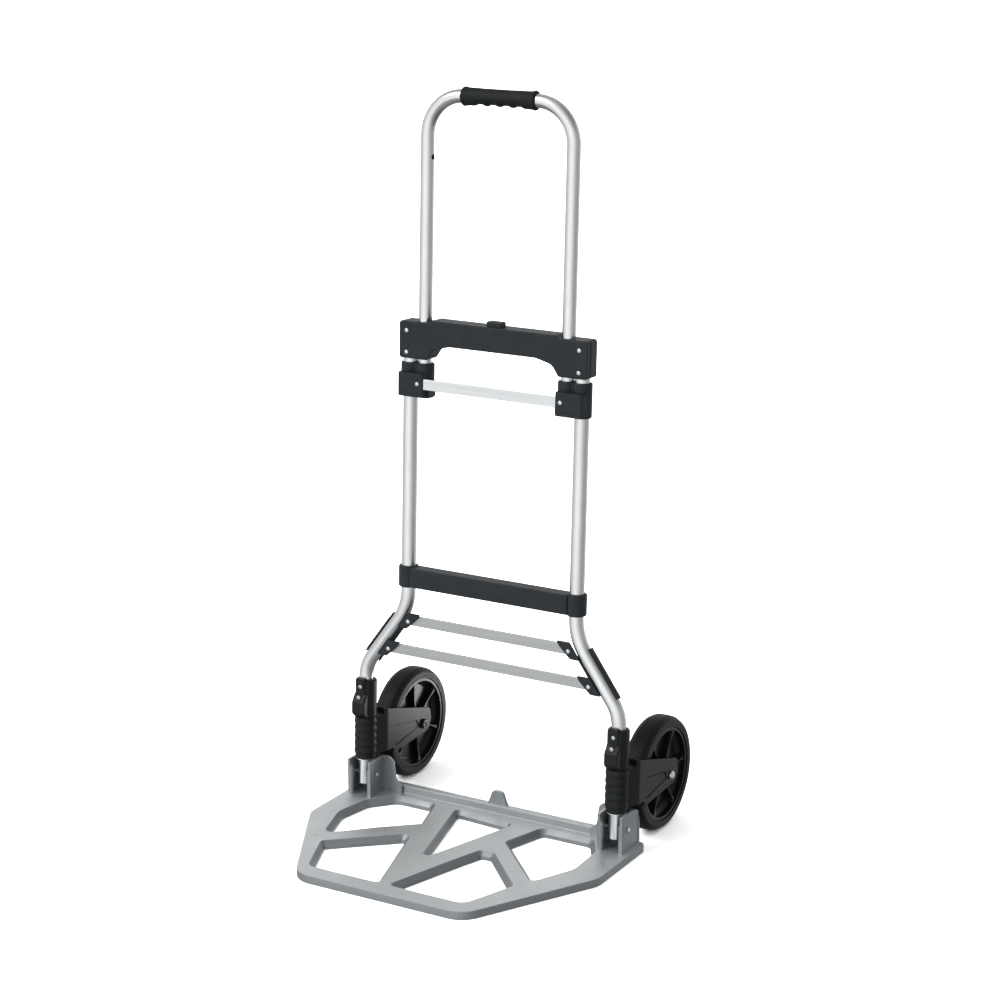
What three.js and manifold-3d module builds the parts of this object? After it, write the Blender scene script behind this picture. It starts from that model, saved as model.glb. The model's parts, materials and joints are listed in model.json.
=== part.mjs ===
// A folding aluminium hand truck. Millimetres, +Z up, -Y to the front, where the toe plate is.
// The origin is on the floor, under the middle of the whole truck.
import * as THREE from "three";
import { mergeVertices } from "three/addons/utils/BufferGeometryUtils.js";
import Module from "manifold-3d";

const wasm = await Module();
wasm.setup();

// ---------------------------------------------------------------- driving sizes

const LEAN = THREE.MathUtils.degToRad(2.2); // the tubes lean back from upright
const FIT_GAP = 0.3; // between pieces fastened together
const SLIDE_GAP = 0.4; // between pieces that slide or turn on each other

// The collars above the forks.
const COLLAR_RADIUS = 17.5;
const COLLAR_BOTTOM = 138;
const COLLAR_HEIGHT = 63;
const BOSS_HALF_WIDTH = 11;
const BOSS_FRONT = 24.5;
const BOSS_HEIGHT = 39;
const BOSS_SLOPE = 13;
const COLLAR_SCREW_HEIGHTS = [COLLAR_BOTTOM + 33, COLLAR_BOTTOM + 49];

// The two lower tubes: straight, slanting outwards below the crossbar, straight again in the wheel hubs.
const TUBE_RADIUS = 11;
const TUBE_WALL = 1.5;
const TUBE_HALF_SPACING = 142.7;
const HUB_HALF_SPACING = 217;
const TUBE_END = 34; // heights along the tubes, from the floor
const COLLAR_BEND_GAP = 18; // from the collar to the corner of the bend above it
const LOWER_BEND_HEIGHT = COLLAR_BOTTOM + COLLAR_HEIGHT + COLLAR_BEND_GAP;
const SLANT_DROP = 103;
const UPPER_BEND_HEIGHT = LOWER_BEND_HEIGHT + SLANT_DROP;
const LOWER_BEND_RADIUS = 60;
const UPPER_BEND_RADIUS = 90;

// The U-shaped handle that slides down inside the lower tubes' spacing.
const HANDLE_RADIUS = 10;
const HANDLE_WALL = 1.5;
const LEG_GAP = 2.9; // between a handle leg and the tube beside it
const HANDLE_HALF_SPACING = TUBE_HALF_SPACING - TUBE_RADIUS - HANDLE_RADIUS - LEG_GAP;
const HANDLE_STAND = 89; // from the upper lock holes to the axis of the handle's top
const HANDLE_BEND_RADIUS = 58;

const GRIP_LENGTH = 120;
const GRIP_RADIUS = 14;
const GROOVE_COUNT = 4;
const GROOVE_PITCH = 21;
const GROOVE_DEPTH = 3.5;

// The bridge on top of the lower tubes.
const LOCK_HEIGHT = 742; // of the lock pins inside the bridge
const BRIDGE_HALF_WIDTH = TUBE_HALF_SPACING + 13;
const BRIDGE_BOTTOM = LOCK_HEIGHT - 39;
const BRIDGE_END_HEIGHT = 55;
const BRIDGE_RISE = 4; // the middle stands this much above the ends
const BRIDGE_RISE_HALF_WIDTH = HANDLE_HALF_SPACING - 14.8;
const BRIDGE_FRONT = 13.4;
const BRIDGE_REAR = 17;
const COVER_THICKNESS = 4;
const ARCH_RISE = 23;
const ARCH_HALF_WIDTH = HANDLE_HALF_SPACING - 9.8;
const ARCH_FLAT_HALF_WIDTH = HANDLE_HALF_SPACING - 46.8;
const BRIDGE_RIVET_HEIGHTS = [BRIDGE_BOTTOM + 9, BRIDGE_BOTTOM + 41];

// The lock inside the bridge: a cam plate under the button draws two pins out of the handle legs.
const LOCK_PIN_RADIUS = 3.5;
const LOCK_HOLE_RADIUS = 4.2;
const LOCK_STUD_OFFSET = 12;
const LOCK_STUD_RADIUS = 1.8;
const BUTTON_TRAVEL = 5;
const BUTTON_HALF_WIDTH = 12.5;
const BUTTON_HALF_DEPTH = 7.6;
const BUTTON_STAND = 7.5; // above the bridge
const CAM_PLATE_THICKNESS = 3;
const CAM_PLATE_HALF_WIDTH = 24;
const POCKET_FLOOR = LOCK_HEIGHT - 11;
const POCKET_CEILING = LOCK_HEIGHT + 14;
const POCKET_FRONT = 8.2;
const POCKET_RIB_FROM = 46;
const POCKET_RIB_TO = 50;
const POCKET_HALF_WIDTH = HANDLE_HALF_SPACING - 13.8;

// The slider blocks at the ends of the handle legs, and the bar between them.
const SLIDER_HEIGHT = 51;
const SLIDER_GAP = 6; // below the bridge when the handle is out
const SLIDER_BOTTOM = BRIDGE_BOTTOM - SLIDER_GAP - SLIDER_HEIGHT;
const SLIDER_INNER = HANDLE_HALF_SPACING - 16.8;
const SLIDER_OUTER = TUBE_HALF_SPACING + 14.8;
const SLIDER_DEPTH = 28;
const SLIDER_BLOCK_INNER = HANDLE_HALF_SPACING - 8.8;
const SLIDER_BLOCK_OUTER = TUBE_HALF_SPACING + 10.3;
const SLIDER_BLOCK_HEIGHT = 37;
const SLIDER_BLOCK_FRONT = 22;
const SLIDER_BAR_HEIGHT = 16;
const SLIDER_BAR_THICKNESS = 3;
const SLIDER_BAR_FRONT = 19.5;
const SLIDER_BAR_CENTRE = SLIDER_BOTTOM + 22;
const SLIDER_BAR_HALF_LENGTH = HANDLE_HALF_SPACING + 8.2;

// The moulded crossbar above the bends.
const CROSSBAR_BOTTOM = UPPER_BEND_HEIGHT + 34.5;
const CROSSBAR_HEIGHT = 30;
const CROSSBAR_FRONT = 14;
const CROSSBAR_REAR = 9;
const CROSSBAR_WALL = 3;
const CROSSBAR_RIB_COUNT = 9;
const CLAMP_RADIUS = 15;
const CLAMP_HEIGHT = 33;

// The saddles behind the slanting tubes, with lugs that carry the two flat struts.
const SADDLE_END_GAP = 1.3; // to each bend
const SADDLE_RADIUS = 14;
const SADDLE_FRONT_ANGLE = 42; // degrees round the tube towards the front, on the inner side
const SADDLE_OUTER_ANGLE = 20; // the same on the outer side
const LUG_THICKNESS = 3;
const LUG_FRONT = 11.2;
const LUG_HEIGHT = 25;
const LUG_REACH = 17; // from the tube's side to the lug's tip
const STRUT_HEIGHT = 16;
const STRUT_THICKNESS = 3;
const STRUT_INSET = 6.8; // from the saddle's ends
const STRUT_RISE = 13.4; // of the struts' middle above the saddles' middle

// The swivelling wheel forks.
const BARREL_BOTTOM = 70.5;
const BARREL_END_RADIUS = 16;
const BARREL_RADIUS = 17.6;
const BARREL_WAVE = 1;
const BARREL_WAVE_COUNT = 5;
const FORK_BOTTOM = 68.5;
const FORK_END_BOTTOM = 79; // the arms' lower edge rises towards the axle
const FORK_HALF_WIDTH = 24.5;
const FORK_ARM_THICKNESS = 4;
const FORK_CLEAR_BOTTOM = 77.4; // above the toe plate's cheeks as they swing past
const FORK_CLEAR_RADIUS = 41;
const YOKE_BACK = 36;
const ARM_TOP_FRONT = 152;
const ARM_TOP_BACK = 111;
const ARM_END_BACK = 30; // behind the axle
const WASHER_RADIUS = 15.4;
const WASHER_THICKNESS = 1.4;

// The wheels.
const WHEEL_RADIUS = 87.3;
const YOKE_GAP = 4.2; // between the yoke and the tyre
const AXLE_BACK = YOKE_BACK + WHEEL_RADIUS + YOKE_GAP;
const WHEEL_HALF_WIDTH = 18.2;
const TYRE_INNER_RADIUS = 71;
const TYRE_SHOULDER = 6;
const RIM_OPENING_RADIUS = 65.5;
const RIM_HALF_WIDTH = 16.6;
const HUB_RADIUS = 15;
const SPOKE_COUNT = 6;
const SPOKE_THICKNESS = 3;
const SPOKE_HALF_WIDTH = 13;
const RIM_DISC_THICKNESS = 4; // the closed disc between the spokes
const SPOKE_PHASE = { left: 52, right: 25 }; // degrees from upright to the first spoke
const BEARING_RADIUS = 11;
const BEARING_WIDTH = 7;
const AXLE_RADIUS = 4;
const AXLE_HEAD_RADIUS = 6.5;
const AXLE_HEAD_HEIGHT = 4.5;
const AXLE_TIP = 3; // past the fork, inside the cap
const AXLE_CAP_RADIUS = 8;
const AXLE_CAP_HEIGHT = 5;

// The cast toe plate, hinged at the lower ends of the tubes.
const PLATE_THICKNESS = 13;
const PLATE_HALF_WIDTH = 247;
const PLATE_FRONT = 305;
const PLATE_REAR = 40;
const PLATE_CORNER_X = 139;
const PLATE_SIDE_CORNER_Y = 107;
const PLATE_CORNER_RADIUS = 40;
const WINDOW_CHAMFER = 6;
const PIVOT_HEIGHT = 45;
const PIVOT_RADIUS = 3;
const CHEEK_GAP = 16.4; // half the space between the two cheeks
const CHEEK_THICKNESS = 4.4;
const CHEEK_FRONT = 19;
const CHEEK_REAR = 23.5;
const CHEEK_TOP = 70;
const WEB_THICKNESS = 4;
const GUSSET_WIDTH = 32;
const RAIL_HEIGHT = 12;
const RAIL_DEPTH = 14;
const TAB_HALF_WIDTH = 22;
const TAB_TOP = 47;
const TAB_TOP_RADIUS = 10;
const TAB_THICKNESS = 6;

// Fasteners.
const RIVET_RADIUS = 2;
const RIVET_HEAD_RADIUS = 3.8;
const RIVET_HEAD_HEIGHT = 1.8;
const SCREW_RADIUS = 2;
const SCREW_HEAD_RADIUS = 3.7;
const SCREW_HEAD_HEIGHT = 2.2;

const SIDES = 16; // flats round a tube
const COLLAR_SIDES = 20;
const PIN_SIDES = 8; // flats round a rivet, screw or pin
const WHEEL_SIDES = 40;
const BEND_STEPS = 5; // stations round a bend

// ---------------------------------------------------------------- materials

const material = (color, roughness, metalness) =>
  new THREE.MeshStandardMaterial({ color, roughness, metalness });
const aluminium = material(0xc9cccd, 0.3, 1);
const castAluminium = material(0xb2b6b8, 0.45, 1);
const blackPlastic = material(0x2b2e31, 0.5, 0);
const blackRubber = material(0x17191b, 0.75, 0);
const zincSteel = material(0xc4c7c8, 0.3, 1);

// ---------------------------------------------------------------- solids and shapes

/** A closed geometry as a solid for joining and cutting. */
function toSolid(geometry) {
  const bare = geometry.clone();
  for (const name of Object.keys(bare.attributes)) {
    if (name !== "position") bare.deleteAttribute(name);
  }
  const merged = mergeVertices(bare, 1e-4);
  const vertProperties = merged.attributes.position.array;
  const triVerts = new Uint32Array(merged.index.array);
  return new wasm.Manifold(new wasm.Mesh({ numProp: 3, vertProperties, triVerts }));
}

function toGeometry(solid) {
  const mesh = solid.getMesh();
  const indexed = new THREE.BufferGeometry();
  indexed.setAttribute("position", new THREE.BufferAttribute(mesh.vertProperties, 3));
  indexed.setIndex(new THREE.BufferAttribute(mesh.triVerts, 1));
  const flat = indexed.toNonIndexed();
  flat.computeVertexNormals();
  return flat;
}

const join = (first, ...rest) =>
  toGeometry(rest.reduce((whole, piece) => whole.add(toSolid(piece)), toSolid(first)));
const cut = (whole, ...tools) =>
  toGeometry(tools.reduce((left, tool) => left.subtract(toSolid(tool)), toSolid(whole)));
const common = (first, second) => toGeometry(toSolid(first).intersect(toSolid(second)));

/** A box between two corners, given as [low, high] along each axis. */
function block(x, y, z) {
  const box = new THREE.BoxGeometry(x[1] - x[0], y[1] - y[0], z[1] - z[0]);
  return box.translate((x[0] + x[1]) / 2, (y[0] + y[1]) / 2, (z[0] + z[1]) / 2);
}

const TURN_TO_AXIS = {
  x: new THREE.Matrix4().makeRotationZ(-Math.PI / 2),
  y: new THREE.Matrix4(),
  z: new THREE.Matrix4().makeRotationX(Math.PI / 2),
};

/** Points from the origin along one axis, and across it. */
function along(axis, distance, [first, second]) {
  if (axis === "x") return [distance, first, second];
  if (axis === "y") return [first, distance, second];
  return [first, second, distance];
}

/** A round bar along an axis; centre holds its other two coordinates. */
function rod(axis, radius, [from, to], centre, sides = SIDES) {
  const cylinder = new THREE.CylinderGeometry(radius, radius, to - from, sides);
  cylinder.applyMatrix4(TURN_TO_AXIS[axis]);
  return cylinder.translate(...along(axis, (from + to) / 2, centre));
}

/** A body turned about an axis from a closed anticlockwise profile of [radius, distance along the axis]. */
function turned(axis, profile, centre, sides = SIDES) {
  const points = [...profile, profile[0]].map(([radius, height]) => new THREE.Vector2(radius, height));
  const lathe = new THREE.LatheGeometry(points, sides);
  lathe.applyMatrix4(TURN_TO_AXIS[axis]);
  return lathe.translate(...along(axis, 0, centre));
}

const ring = (axis, outer, inner, [from, to], centre, sides = SIDES) =>
  turned(axis, [[outer, from], [outer, to], [inner, to], [inner, from]], centre, sides);

/** Points round a corner between two neighbours, on an arc of the given radius. */
function cornerPoints(before, corner, after, radius, steps) {
  if (radius === 0) return [corner.clone()];
  const toBefore = before.clone().sub(corner).normalize();
  const toAfter = after.clone().sub(corner).normalize();
  const halfAngle = Math.acos(toBefore.dot(toAfter)) / 2;
  const middle = toBefore.clone().add(toAfter).normalize();
  const centre = corner.clone().addScaledVector(middle, radius / Math.sin(halfAngle));
  const startArm = corner.clone().addScaledVector(toBefore, radius / Math.tan(halfAngle)).sub(centre);
  const turn = (Math.PI - 2 * halfAngle) * Math.sign(toAfter.cross(toBefore));
  return Array.from({ length: steps + 1 }, (_, k) =>
    startArm.clone().rotateAround(new THREE.Vector2(), (turn * k) / steps).add(centre));
}

/** A closed outline through [x, y, radius] corners. */
function outline(corners, steps = 3) {
  const points = corners.map(([x, y]) => new THREE.Vector2(x, y));
  const count = corners.length;
  const rounded = corners.flatMap(([, , radius = 0], i) =>
    cornerPoints(points[(i + count - 1) % count], points[i], points[(i + 1) % count], radius, steps));
  return new THREE.Shape(rounded);
}

const ONTO_PLANE = {
  xy: new THREE.Matrix4(),
  xz: new THREE.Matrix4().set(1, 0, 0, 0, 0, 0, -1, 0, 0, 1, 0, 0, 0, 0, 0, 1),
  yz: new THREE.Matrix4().set(0, 0, 1, 0, 1, 0, 0, 0, 0, 1, 0, 0, 0, 0, 0, 1),
};

/** A shape drawn on a plane and given thickness from one level to another, across that plane. */
function prism(plane, shape, [from, to]) {
  const settings = { depth: to - from, bevelEnabled: false, curveSegments: 8 };
  const geometry = new THREE.ExtrudeGeometry(shape, settings);
  geometry.applyMatrix4(ONTO_PLANE[plane]);
  if (plane === "xz") return geometry.translate(0, to, 0);
  return geometry.translate(...(plane === "xy" ? [0, 0, from] : [from, 0, 0]));
}

/** The corners of a regular polygon that stands for a circle. */
const circle = (radius, sides) => Array.from({ length: sides }, (_, k) =>
  new THREE.Vector2(radius, 0).rotateAround(new THREE.Vector2(), (2 * Math.PI * k) / sides));

/** A path in the plane of the frame, with stations only at its ends and round its bends. */
class BentPath extends THREE.Curve {
  constructor(corners) {
    super();
    const points = corners.map(([x, z]) => new THREE.Vector2(x, z));
    const flat = corners.flatMap(([, , radius = 0], i) => {
      if (radius === 0) return [points[i]];
      return cornerPoints(points[i - 1], points[i], points[i + 1], radius, BEND_STEPS);
    });
    this.stations = flat.map((point) => new THREE.Vector3(point.x, 0, point.y));
  }

  getPointAt(share) {
    return this.stations[Math.round(share * (this.stations.length - 1))].clone();
  }

  getTangentAt(share) {
    const last = this.stations.length - 1;
    const index = Math.round(share * last);
    const before = this.stations[Math.max(index - 1, 0)];
    const after = this.stations[Math.min(index + 1, last)];
    return after.clone().sub(before).normalize();
  }
}

/** A round tube along a bent path. */
function pipe(corners, radius, wall) {
  const path = new BentPath(corners);
  const section = new THREE.Shape(circle(radius, SIDES));
  section.holes.push(new THREE.Path(circle(radius - wall, SIDES)));
  return new THREE.ExtrudeGeometry(section, { steps: path.stations.length - 1, extrudePath: path });
}

class Helix extends THREE.Curve {
  constructor(axis, radius, [from, to], turns, centre) {
    super();
    Object.assign(this, { axis, radius, from, to, turns, centre });
  }

  getPoint(share) {
    const angle = 2 * Math.PI * this.turns * share;
    const distance = THREE.MathUtils.lerp(this.from, this.to, share);
    const first = this.centre[0] + this.radius * Math.cos(angle);
    const second = this.centre[1] + this.radius * Math.sin(angle);
    return new THREE.Vector3(...along(this.axis, distance, [first, second]));
  }
}

/** A coil spring that reaches from one level to another along an axis. */
function spring(axis, radius, wireRadius, [from, to], turns, centre) {
  const path = new Helix(axis, radius, [from + wireRadius, to - wireRadius], turns, centre);
  const wire = new THREE.Shape(circle(wireRadius, 4));
  return new THREE.ExtrudeGeometry(wire, { steps: turns * 7, extrudePath: path });
}

/** A rivet along Y: domed head in front, shank, and a flat head behind. */
function rivet(x, z, front, back) {
  const head = RIVET_HEAD_RADIUS;
  const rise = RIVET_HEAD_HEIGHT;
  return turned("y", [
    [0, front - rise],
    [head * 0.6, front - rise * 0.8],
    [head, front - FIT_GAP],
    [head, front - FIT_GAP / 2],
    [RIVET_RADIUS, front - FIT_GAP / 2],
    [RIVET_RADIUS, back + FIT_GAP / 2],
    [head * 0.9, back + FIT_GAP / 2],
    [head * 0.9, back + rise * 0.6],
    [0, back + rise * 0.6],
  ], [x, z], PIN_SIDES);
}

const rivetHole = (x, z, front, back) => rod("y", RIVET_RADIUS + FIT_GAP, [front, back], [x, z], PIN_SIDES);

/** A screw along Y with its head in front. */
function screw(x, z, seat, tip) {
  const head = SCREW_HEAD_RADIUS;
  const rise = SCREW_HEAD_HEIGHT;
  return turned("y", [
    [0, seat - rise],
    [0, tip],
    [SCREW_RADIUS, tip],
    [SCREW_RADIUS, seat - FIT_GAP / 2],
    [head, seat - FIT_GAP / 2],
    [head, seat - rise * 0.5],
    [head * 0.7, seat - rise],
  ].reverse(), [x, z], PIN_SIDES);
}

// ---------------------------------------------------------------- the truck's groups

const truck = new THREE.Group();
// The frame leans back: its own Z runs along the tubes, and its Y = 0 plane holds their axes.
const frame = new THREE.Group();
frame.rotation.x = -LEAN;
truck.add(frame);

function add(parent, name, geometry, surface) {
  const mesh = new THREE.Mesh(geometry, surface);
  mesh.name = name;
  parent.add(mesh);
}

const SIDE_NAMES = [
  ["left", -1],
  ["right", 1],
];

/** A stretch along X, measured outwards from the middle of the truck, as [low, high] on either side. */
const span = (side, from, to) => (side > 0 ? [from, to] : [-to, -from]);

// ---------------------------------------------------------------- lower tubes

const BRIDGE_TOP = BRIDGE_BOTTOM + BRIDGE_END_HEIGHT;
const TUBE_TOP = BRIDGE_TOP - 6;
const CLAMP_MIDDLE = CROSSBAR_BOTTOM + CROSSBAR_HEIGHT / 2;
const BRIDGE_RIVET_X = TUBE_HALF_SPACING;

function lowerTube(side) {
  const hub = side * HUB_HALF_SPACING;
  const upper = side * TUBE_HALF_SPACING;
  const tube = pipe([
    [hub, TUBE_END],
    [hub, LOWER_BEND_HEIGHT, LOWER_BEND_RADIUS],
    [upper, UPPER_BEND_HEIGHT, UPPER_BEND_RADIUS],
    [upper, TUBE_TOP],
  ], TUBE_RADIUS, TUBE_WALL);
  const past = TUBE_RADIUS + 1;
  const screwHoles = COLLAR_SCREW_HEIGHTS.map((z) =>
    rod("y", SCREW_RADIUS + FIT_GAP, [-past, 0], [hub, z], PIN_SIDES));
  const rivetHoles = BRIDGE_RIVET_HEIGHTS.map((z) => rivetHole(side * BRIDGE_RIVET_X, z, -past, past));
  const pivotHole =
    rod("x", PIVOT_RADIUS + FIT_GAP, [hub - past, hub + past], [0, PIVOT_HEIGHT], PIN_SIDES);
  const crossbarHole = rod("y", SCREW_RADIUS + FIT_GAP, [0, past], [upper, CLAMP_MIDDLE], PIN_SIDES);
  return cut(tube, ...screwHoles, ...rivetHoles, pivotHole, crossbarHole);
}

function tubePlug(side) {
  const bore = TUBE_RADIUS - TUBE_WALL - FIT_GAP;
  const flangeTop = TUBE_END - FIT_GAP;
  const bottom = TUBE_END - 5;
  return turned("z", [
    [0, bottom],
    [TUBE_RADIUS - 2, bottom],
    [TUBE_RADIUS, bottom + 2],
    [TUBE_RADIUS, flangeTop],
    [bore, flangeTop],
    [bore, PIVOT_HEIGHT - PIVOT_RADIUS - 1],
    [0, PIVOT_HEIGHT - PIVOT_RADIUS - 1],
  ], [side * HUB_HALF_SPACING, 0]);
}

// ---------------------------------------------------------------- bridge and lock

const COVER_FRONT = BRIDGE_REAR - COVER_THICKNESS;
const MIDDLE_TOP = BRIDGE_TOP + BRIDGE_RISE;

function bridgeOutline() {
  const archTop = BRIDGE_BOTTOM + ARCH_RISE;
  const half = [
    [ARCH_FLAT_HALF_WIDTH, archTop, 30],
    [ARCH_HALF_WIDTH - 10, archTop - 7, 18],
    [ARCH_HALF_WIDTH, BRIDGE_BOTTOM, 4],
    [BRIDGE_HALF_WIDTH - 1, BRIDGE_BOTTOM, 4],
    [BRIDGE_HALF_WIDTH, BRIDGE_TOP, 4],
    [BRIDGE_RISE_HALF_WIDTH + 4, BRIDGE_TOP],
    [BRIDGE_RISE_HALF_WIDTH, MIDDLE_TOP, 2],
  ];
  const mirrored = half.map(([x, z, radius]) => [-x, z, radius]).reverse();
  return outline([...half, ...mirrored]);
}

function bridgeHoles(side) {
  const handleAxis = [side * HANDLE_HALF_SPACING, 0];
  const tubeAxis = [side * TUBE_HALF_SPACING, 0];
  const handleBore = rod("z", HANDLE_RADIUS + SLIDE_GAP, [BRIDGE_BOTTOM - 5, MIDDLE_TOP + 5], handleAxis);
  const tubeSocket = rod("z", TUBE_RADIUS + FIT_GAP, [BRIDGE_BOTTOM - 5, TUBE_TOP + FIT_GAP], tubeAxis);
  const rivetHoles = BRIDGE_RIVET_HEIGHTS.map((z) =>
    rivetHole(side * BRIDGE_RIVET_X, z, -BRIDGE_FRONT - 1, BRIDGE_REAR + 1));
  return [handleBore, tubeSocket, ...rivetHoles];
}

/** One side of the lock's hollows: half of the pocket, a notch for the pin's rod, and the pin's hole. */
function lockHollows(side) {
  const heights = [POCKET_FLOOR, POCKET_CEILING];
  const notch = LOCK_PIN_RADIUS + SLIDE_GAP;
  const notchHeights = [LOCK_HEIGHT - notch, LOCK_HEIGHT + notch];
  return [
    block(span(side, -0.5, POCKET_RIB_FROM), [-POCKET_FRONT, BRIDGE_REAR], heights),
    block(span(side, POCKET_RIB_TO, POCKET_HALF_WIDTH), [-POCKET_FRONT, BRIDGE_REAR], heights),
    block(span(side, POCKET_RIB_FROM - 1, POCKET_RIB_TO + 1), [-notch, BRIDGE_REAR], notchHeights),
    rod("x", notch, span(side, POCKET_HALF_WIDTH - 1, HANDLE_HALF_SPACING), [0, LOCK_HEIGHT], PIN_SIDES),
  ];
}

function bridgeHousing() {
  const body = prism("xz", bridgeOutline(), [-BRIDGE_FRONT, COVER_FRONT - FIT_GAP]);
  const buttonHole = block(
    [-BUTTON_HALF_WIDTH - SLIDE_GAP, BUTTON_HALF_WIDTH + SLIDE_GAP],
    [-BUTTON_HALF_DEPTH - SLIDE_GAP, BUTTON_HALF_DEPTH + SLIDE_GAP],
    [POCKET_CEILING - 1, MIDDLE_TOP + 1],
  );
  const sides = SIDE_NAMES.flatMap(([, side]) => [...bridgeHoles(side), ...lockHollows(side)]);
  return cut(body, ...sides, buttonHole);
}

function bridgeRearCover() {
  const plate = prism("xz", bridgeOutline(), [COVER_FRONT, BRIDGE_REAR]);
  const holes = SIDE_NAMES.flatMap(([, side]) =>
    BRIDGE_RIVET_HEIGHTS.map((z) => rivetHole(side * BRIDGE_RIVET_X, z, 0, BRIDGE_REAR + 1)));
  return cut(plate, ...holes);
}

const bridgeRivet = (side, index) =>
  rivet(side * BRIDGE_RIVET_X, BRIDGE_RIVET_HEIGHTS[index], -BRIDGE_FRONT, BRIDGE_REAR);

const CAM_TOP = POCKET_CEILING - 4;
const CAM_BOTTOM = LOCK_HEIGHT - LOCK_STUD_RADIUS - SLIDE_GAP - 2.5;
const EAR_THICKNESS = 3;
const EAR_FRONT = 7.6;

/** The button, its flange, and the cam plate with two slots that slope inwards as they rise. */
function releaseButton() {
  const head = block(
    [-BUTTON_HALF_WIDTH, BUTTON_HALF_WIDTH],
    [-BUTTON_HALF_DEPTH, BUTTON_HALF_DEPTH],
    [CAM_TOP - 1, MIDDLE_TOP + BUTTON_STAND],
  );
  const plate = block(
    [-CAM_PLATE_HALF_WIDTH, CAM_PLATE_HALF_WIDTH],
    [-CAM_PLATE_THICKNESS / 2, CAM_PLATE_THICKNESS / 2],
    [CAM_BOTTOM, CAM_TOP],
  );
  const flange = block(
    [-CAM_PLATE_HALF_WIDTH, CAM_PLATE_HALF_WIDTH],
    [-EAR_FRONT, CAM_PLATE_THICKNESS / 2],
    [CAM_TOP - EAR_THICKNESS, CAM_TOP],
  );
  const slots = SIDE_NAMES.map(([, side]) => {
    const width = LOCK_STUD_RADIUS + SLIDE_GAP;
    const slot = join(
      rod("y", width, [-5, 5], [0, 0], PIN_SIDES),
      rod("y", width, [-5, 5], [0, BUTTON_TRAVEL * Math.SQRT2], PIN_SIDES),
      block([-width, width], [-5, 5], [0, BUTTON_TRAVEL * Math.SQRT2]),
    );
    slot.rotateY((-side * Math.PI) / 4);
    return slot.translate(side * LOCK_STUD_OFFSET, 0, LOCK_HEIGHT);
  });
  return cut(join(head, plate, flange), ...slots);
}

const PIN_TIP = HANDLE_HALF_SPACING - HANDLE_RADIUS - FIT_GAP;
const PIN_SHOULDER = 88; // from the middle of the truck
const PIN_SHOULDER_RADIUS = LOCK_PIN_RADIUS + 3;
const TANG_END = 42;
const TANG_THICKNESS = 2.2;

/** A lock pin: a rod to the handle leg, a shoulder for its spring, and a tang with a stud for the cam. */
function lockPin(side) {
  const tangFront = CAM_PLATE_THICKNESS / 2 + SLIDE_GAP;
  const tangDepth = [tangFront, tangFront + TANG_THICKNESS];
  const half = LOCK_PIN_RADIUS - 0.5;
  const tangHeights = [LOCK_HEIGHT - half, LOCK_HEIGHT + half];
  const axis = [0, LOCK_HEIGHT];
  const studAxis = [side * LOCK_STUD_OFFSET, LOCK_HEIGHT];
  return join(
    rod("x", LOCK_PIN_RADIUS, span(side, TANG_END - 4, PIN_TIP), axis, PIN_SIDES),
    rod("x", PIN_SHOULDER_RADIUS, span(side, PIN_SHOULDER, PIN_SHOULDER + 3), axis, PIN_SIDES),
    block(span(side, LOCK_STUD_OFFSET - half, TANG_END), tangDepth, tangHeights),
    rod("y", LOCK_STUD_RADIUS, [-tangFront, tangFront + 1], studAxis, PIN_SIDES),
  );
}

function lockSpring(side) {
  const levels = span(side, POCKET_RIB_TO + FIT_GAP, PIN_SHOULDER - FIT_GAP);
  return spring("x", LOCK_PIN_RADIUS + 1.6, 0.6, levels, 7, [0, LOCK_HEIGHT]);
}

function buttonSpring() {
  const levels = [POCKET_FLOOR + FIT_GAP, CAM_TOP - EAR_THICKNESS - FIT_GAP];
  return spring("z", 1.9, 0.5, levels, 6, [0, -(EAR_FRONT + CAM_PLATE_THICKNESS / 2) / 2]);
}

// ---------------------------------------------------------------- handle, grip and sliders

const handle = new THREE.Group();
frame.add(handle);

const SLIDER_TOP = SLIDER_BOTTOM + SLIDER_HEIGHT;
const HANDLE_END = SLIDER_BOTTOM + 6;
const CLAMP_TOP = CLAMP_MIDDLE + CLAMP_HEIGHT / 2;
const STOP_GAP = 3;
const HANDLE_TRAVEL = SLIDER_BOTTOM - CLAMP_TOP - STOP_GAP;
const HANDLE_TOP = LOCK_HEIGHT + HANDLE_TRAVEL + HANDLE_STAND;

function handleTube() {
  const half = HANDLE_HALF_SPACING;
  const tube = pipe([
    [-half, HANDLE_END],
    [-half, HANDLE_TOP, HANDLE_BEND_RADIUS],
    [half, HANDLE_TOP, HANDLE_BEND_RADIUS],
    [half, HANDLE_END],
  ], HANDLE_RADIUS, HANDLE_WALL);
  const lockHeights = [LOCK_HEIGHT, LOCK_HEIGHT + HANDLE_TRAVEL];
  const lockHoles = lockHeights.map((z) => rod("x", LOCK_HOLE_RADIUS, [-half, half], [0, z], PIN_SIDES));
  const rivetHoles = SIDE_NAMES.map(([, side]) =>
    rivetHole(side * half, SLIDER_BAR_CENTRE, -HANDLE_RADIUS - 1, HANDLE_RADIUS + 1));
  return cut(tube, ...lockHoles, ...rivetHoles);
}

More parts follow.
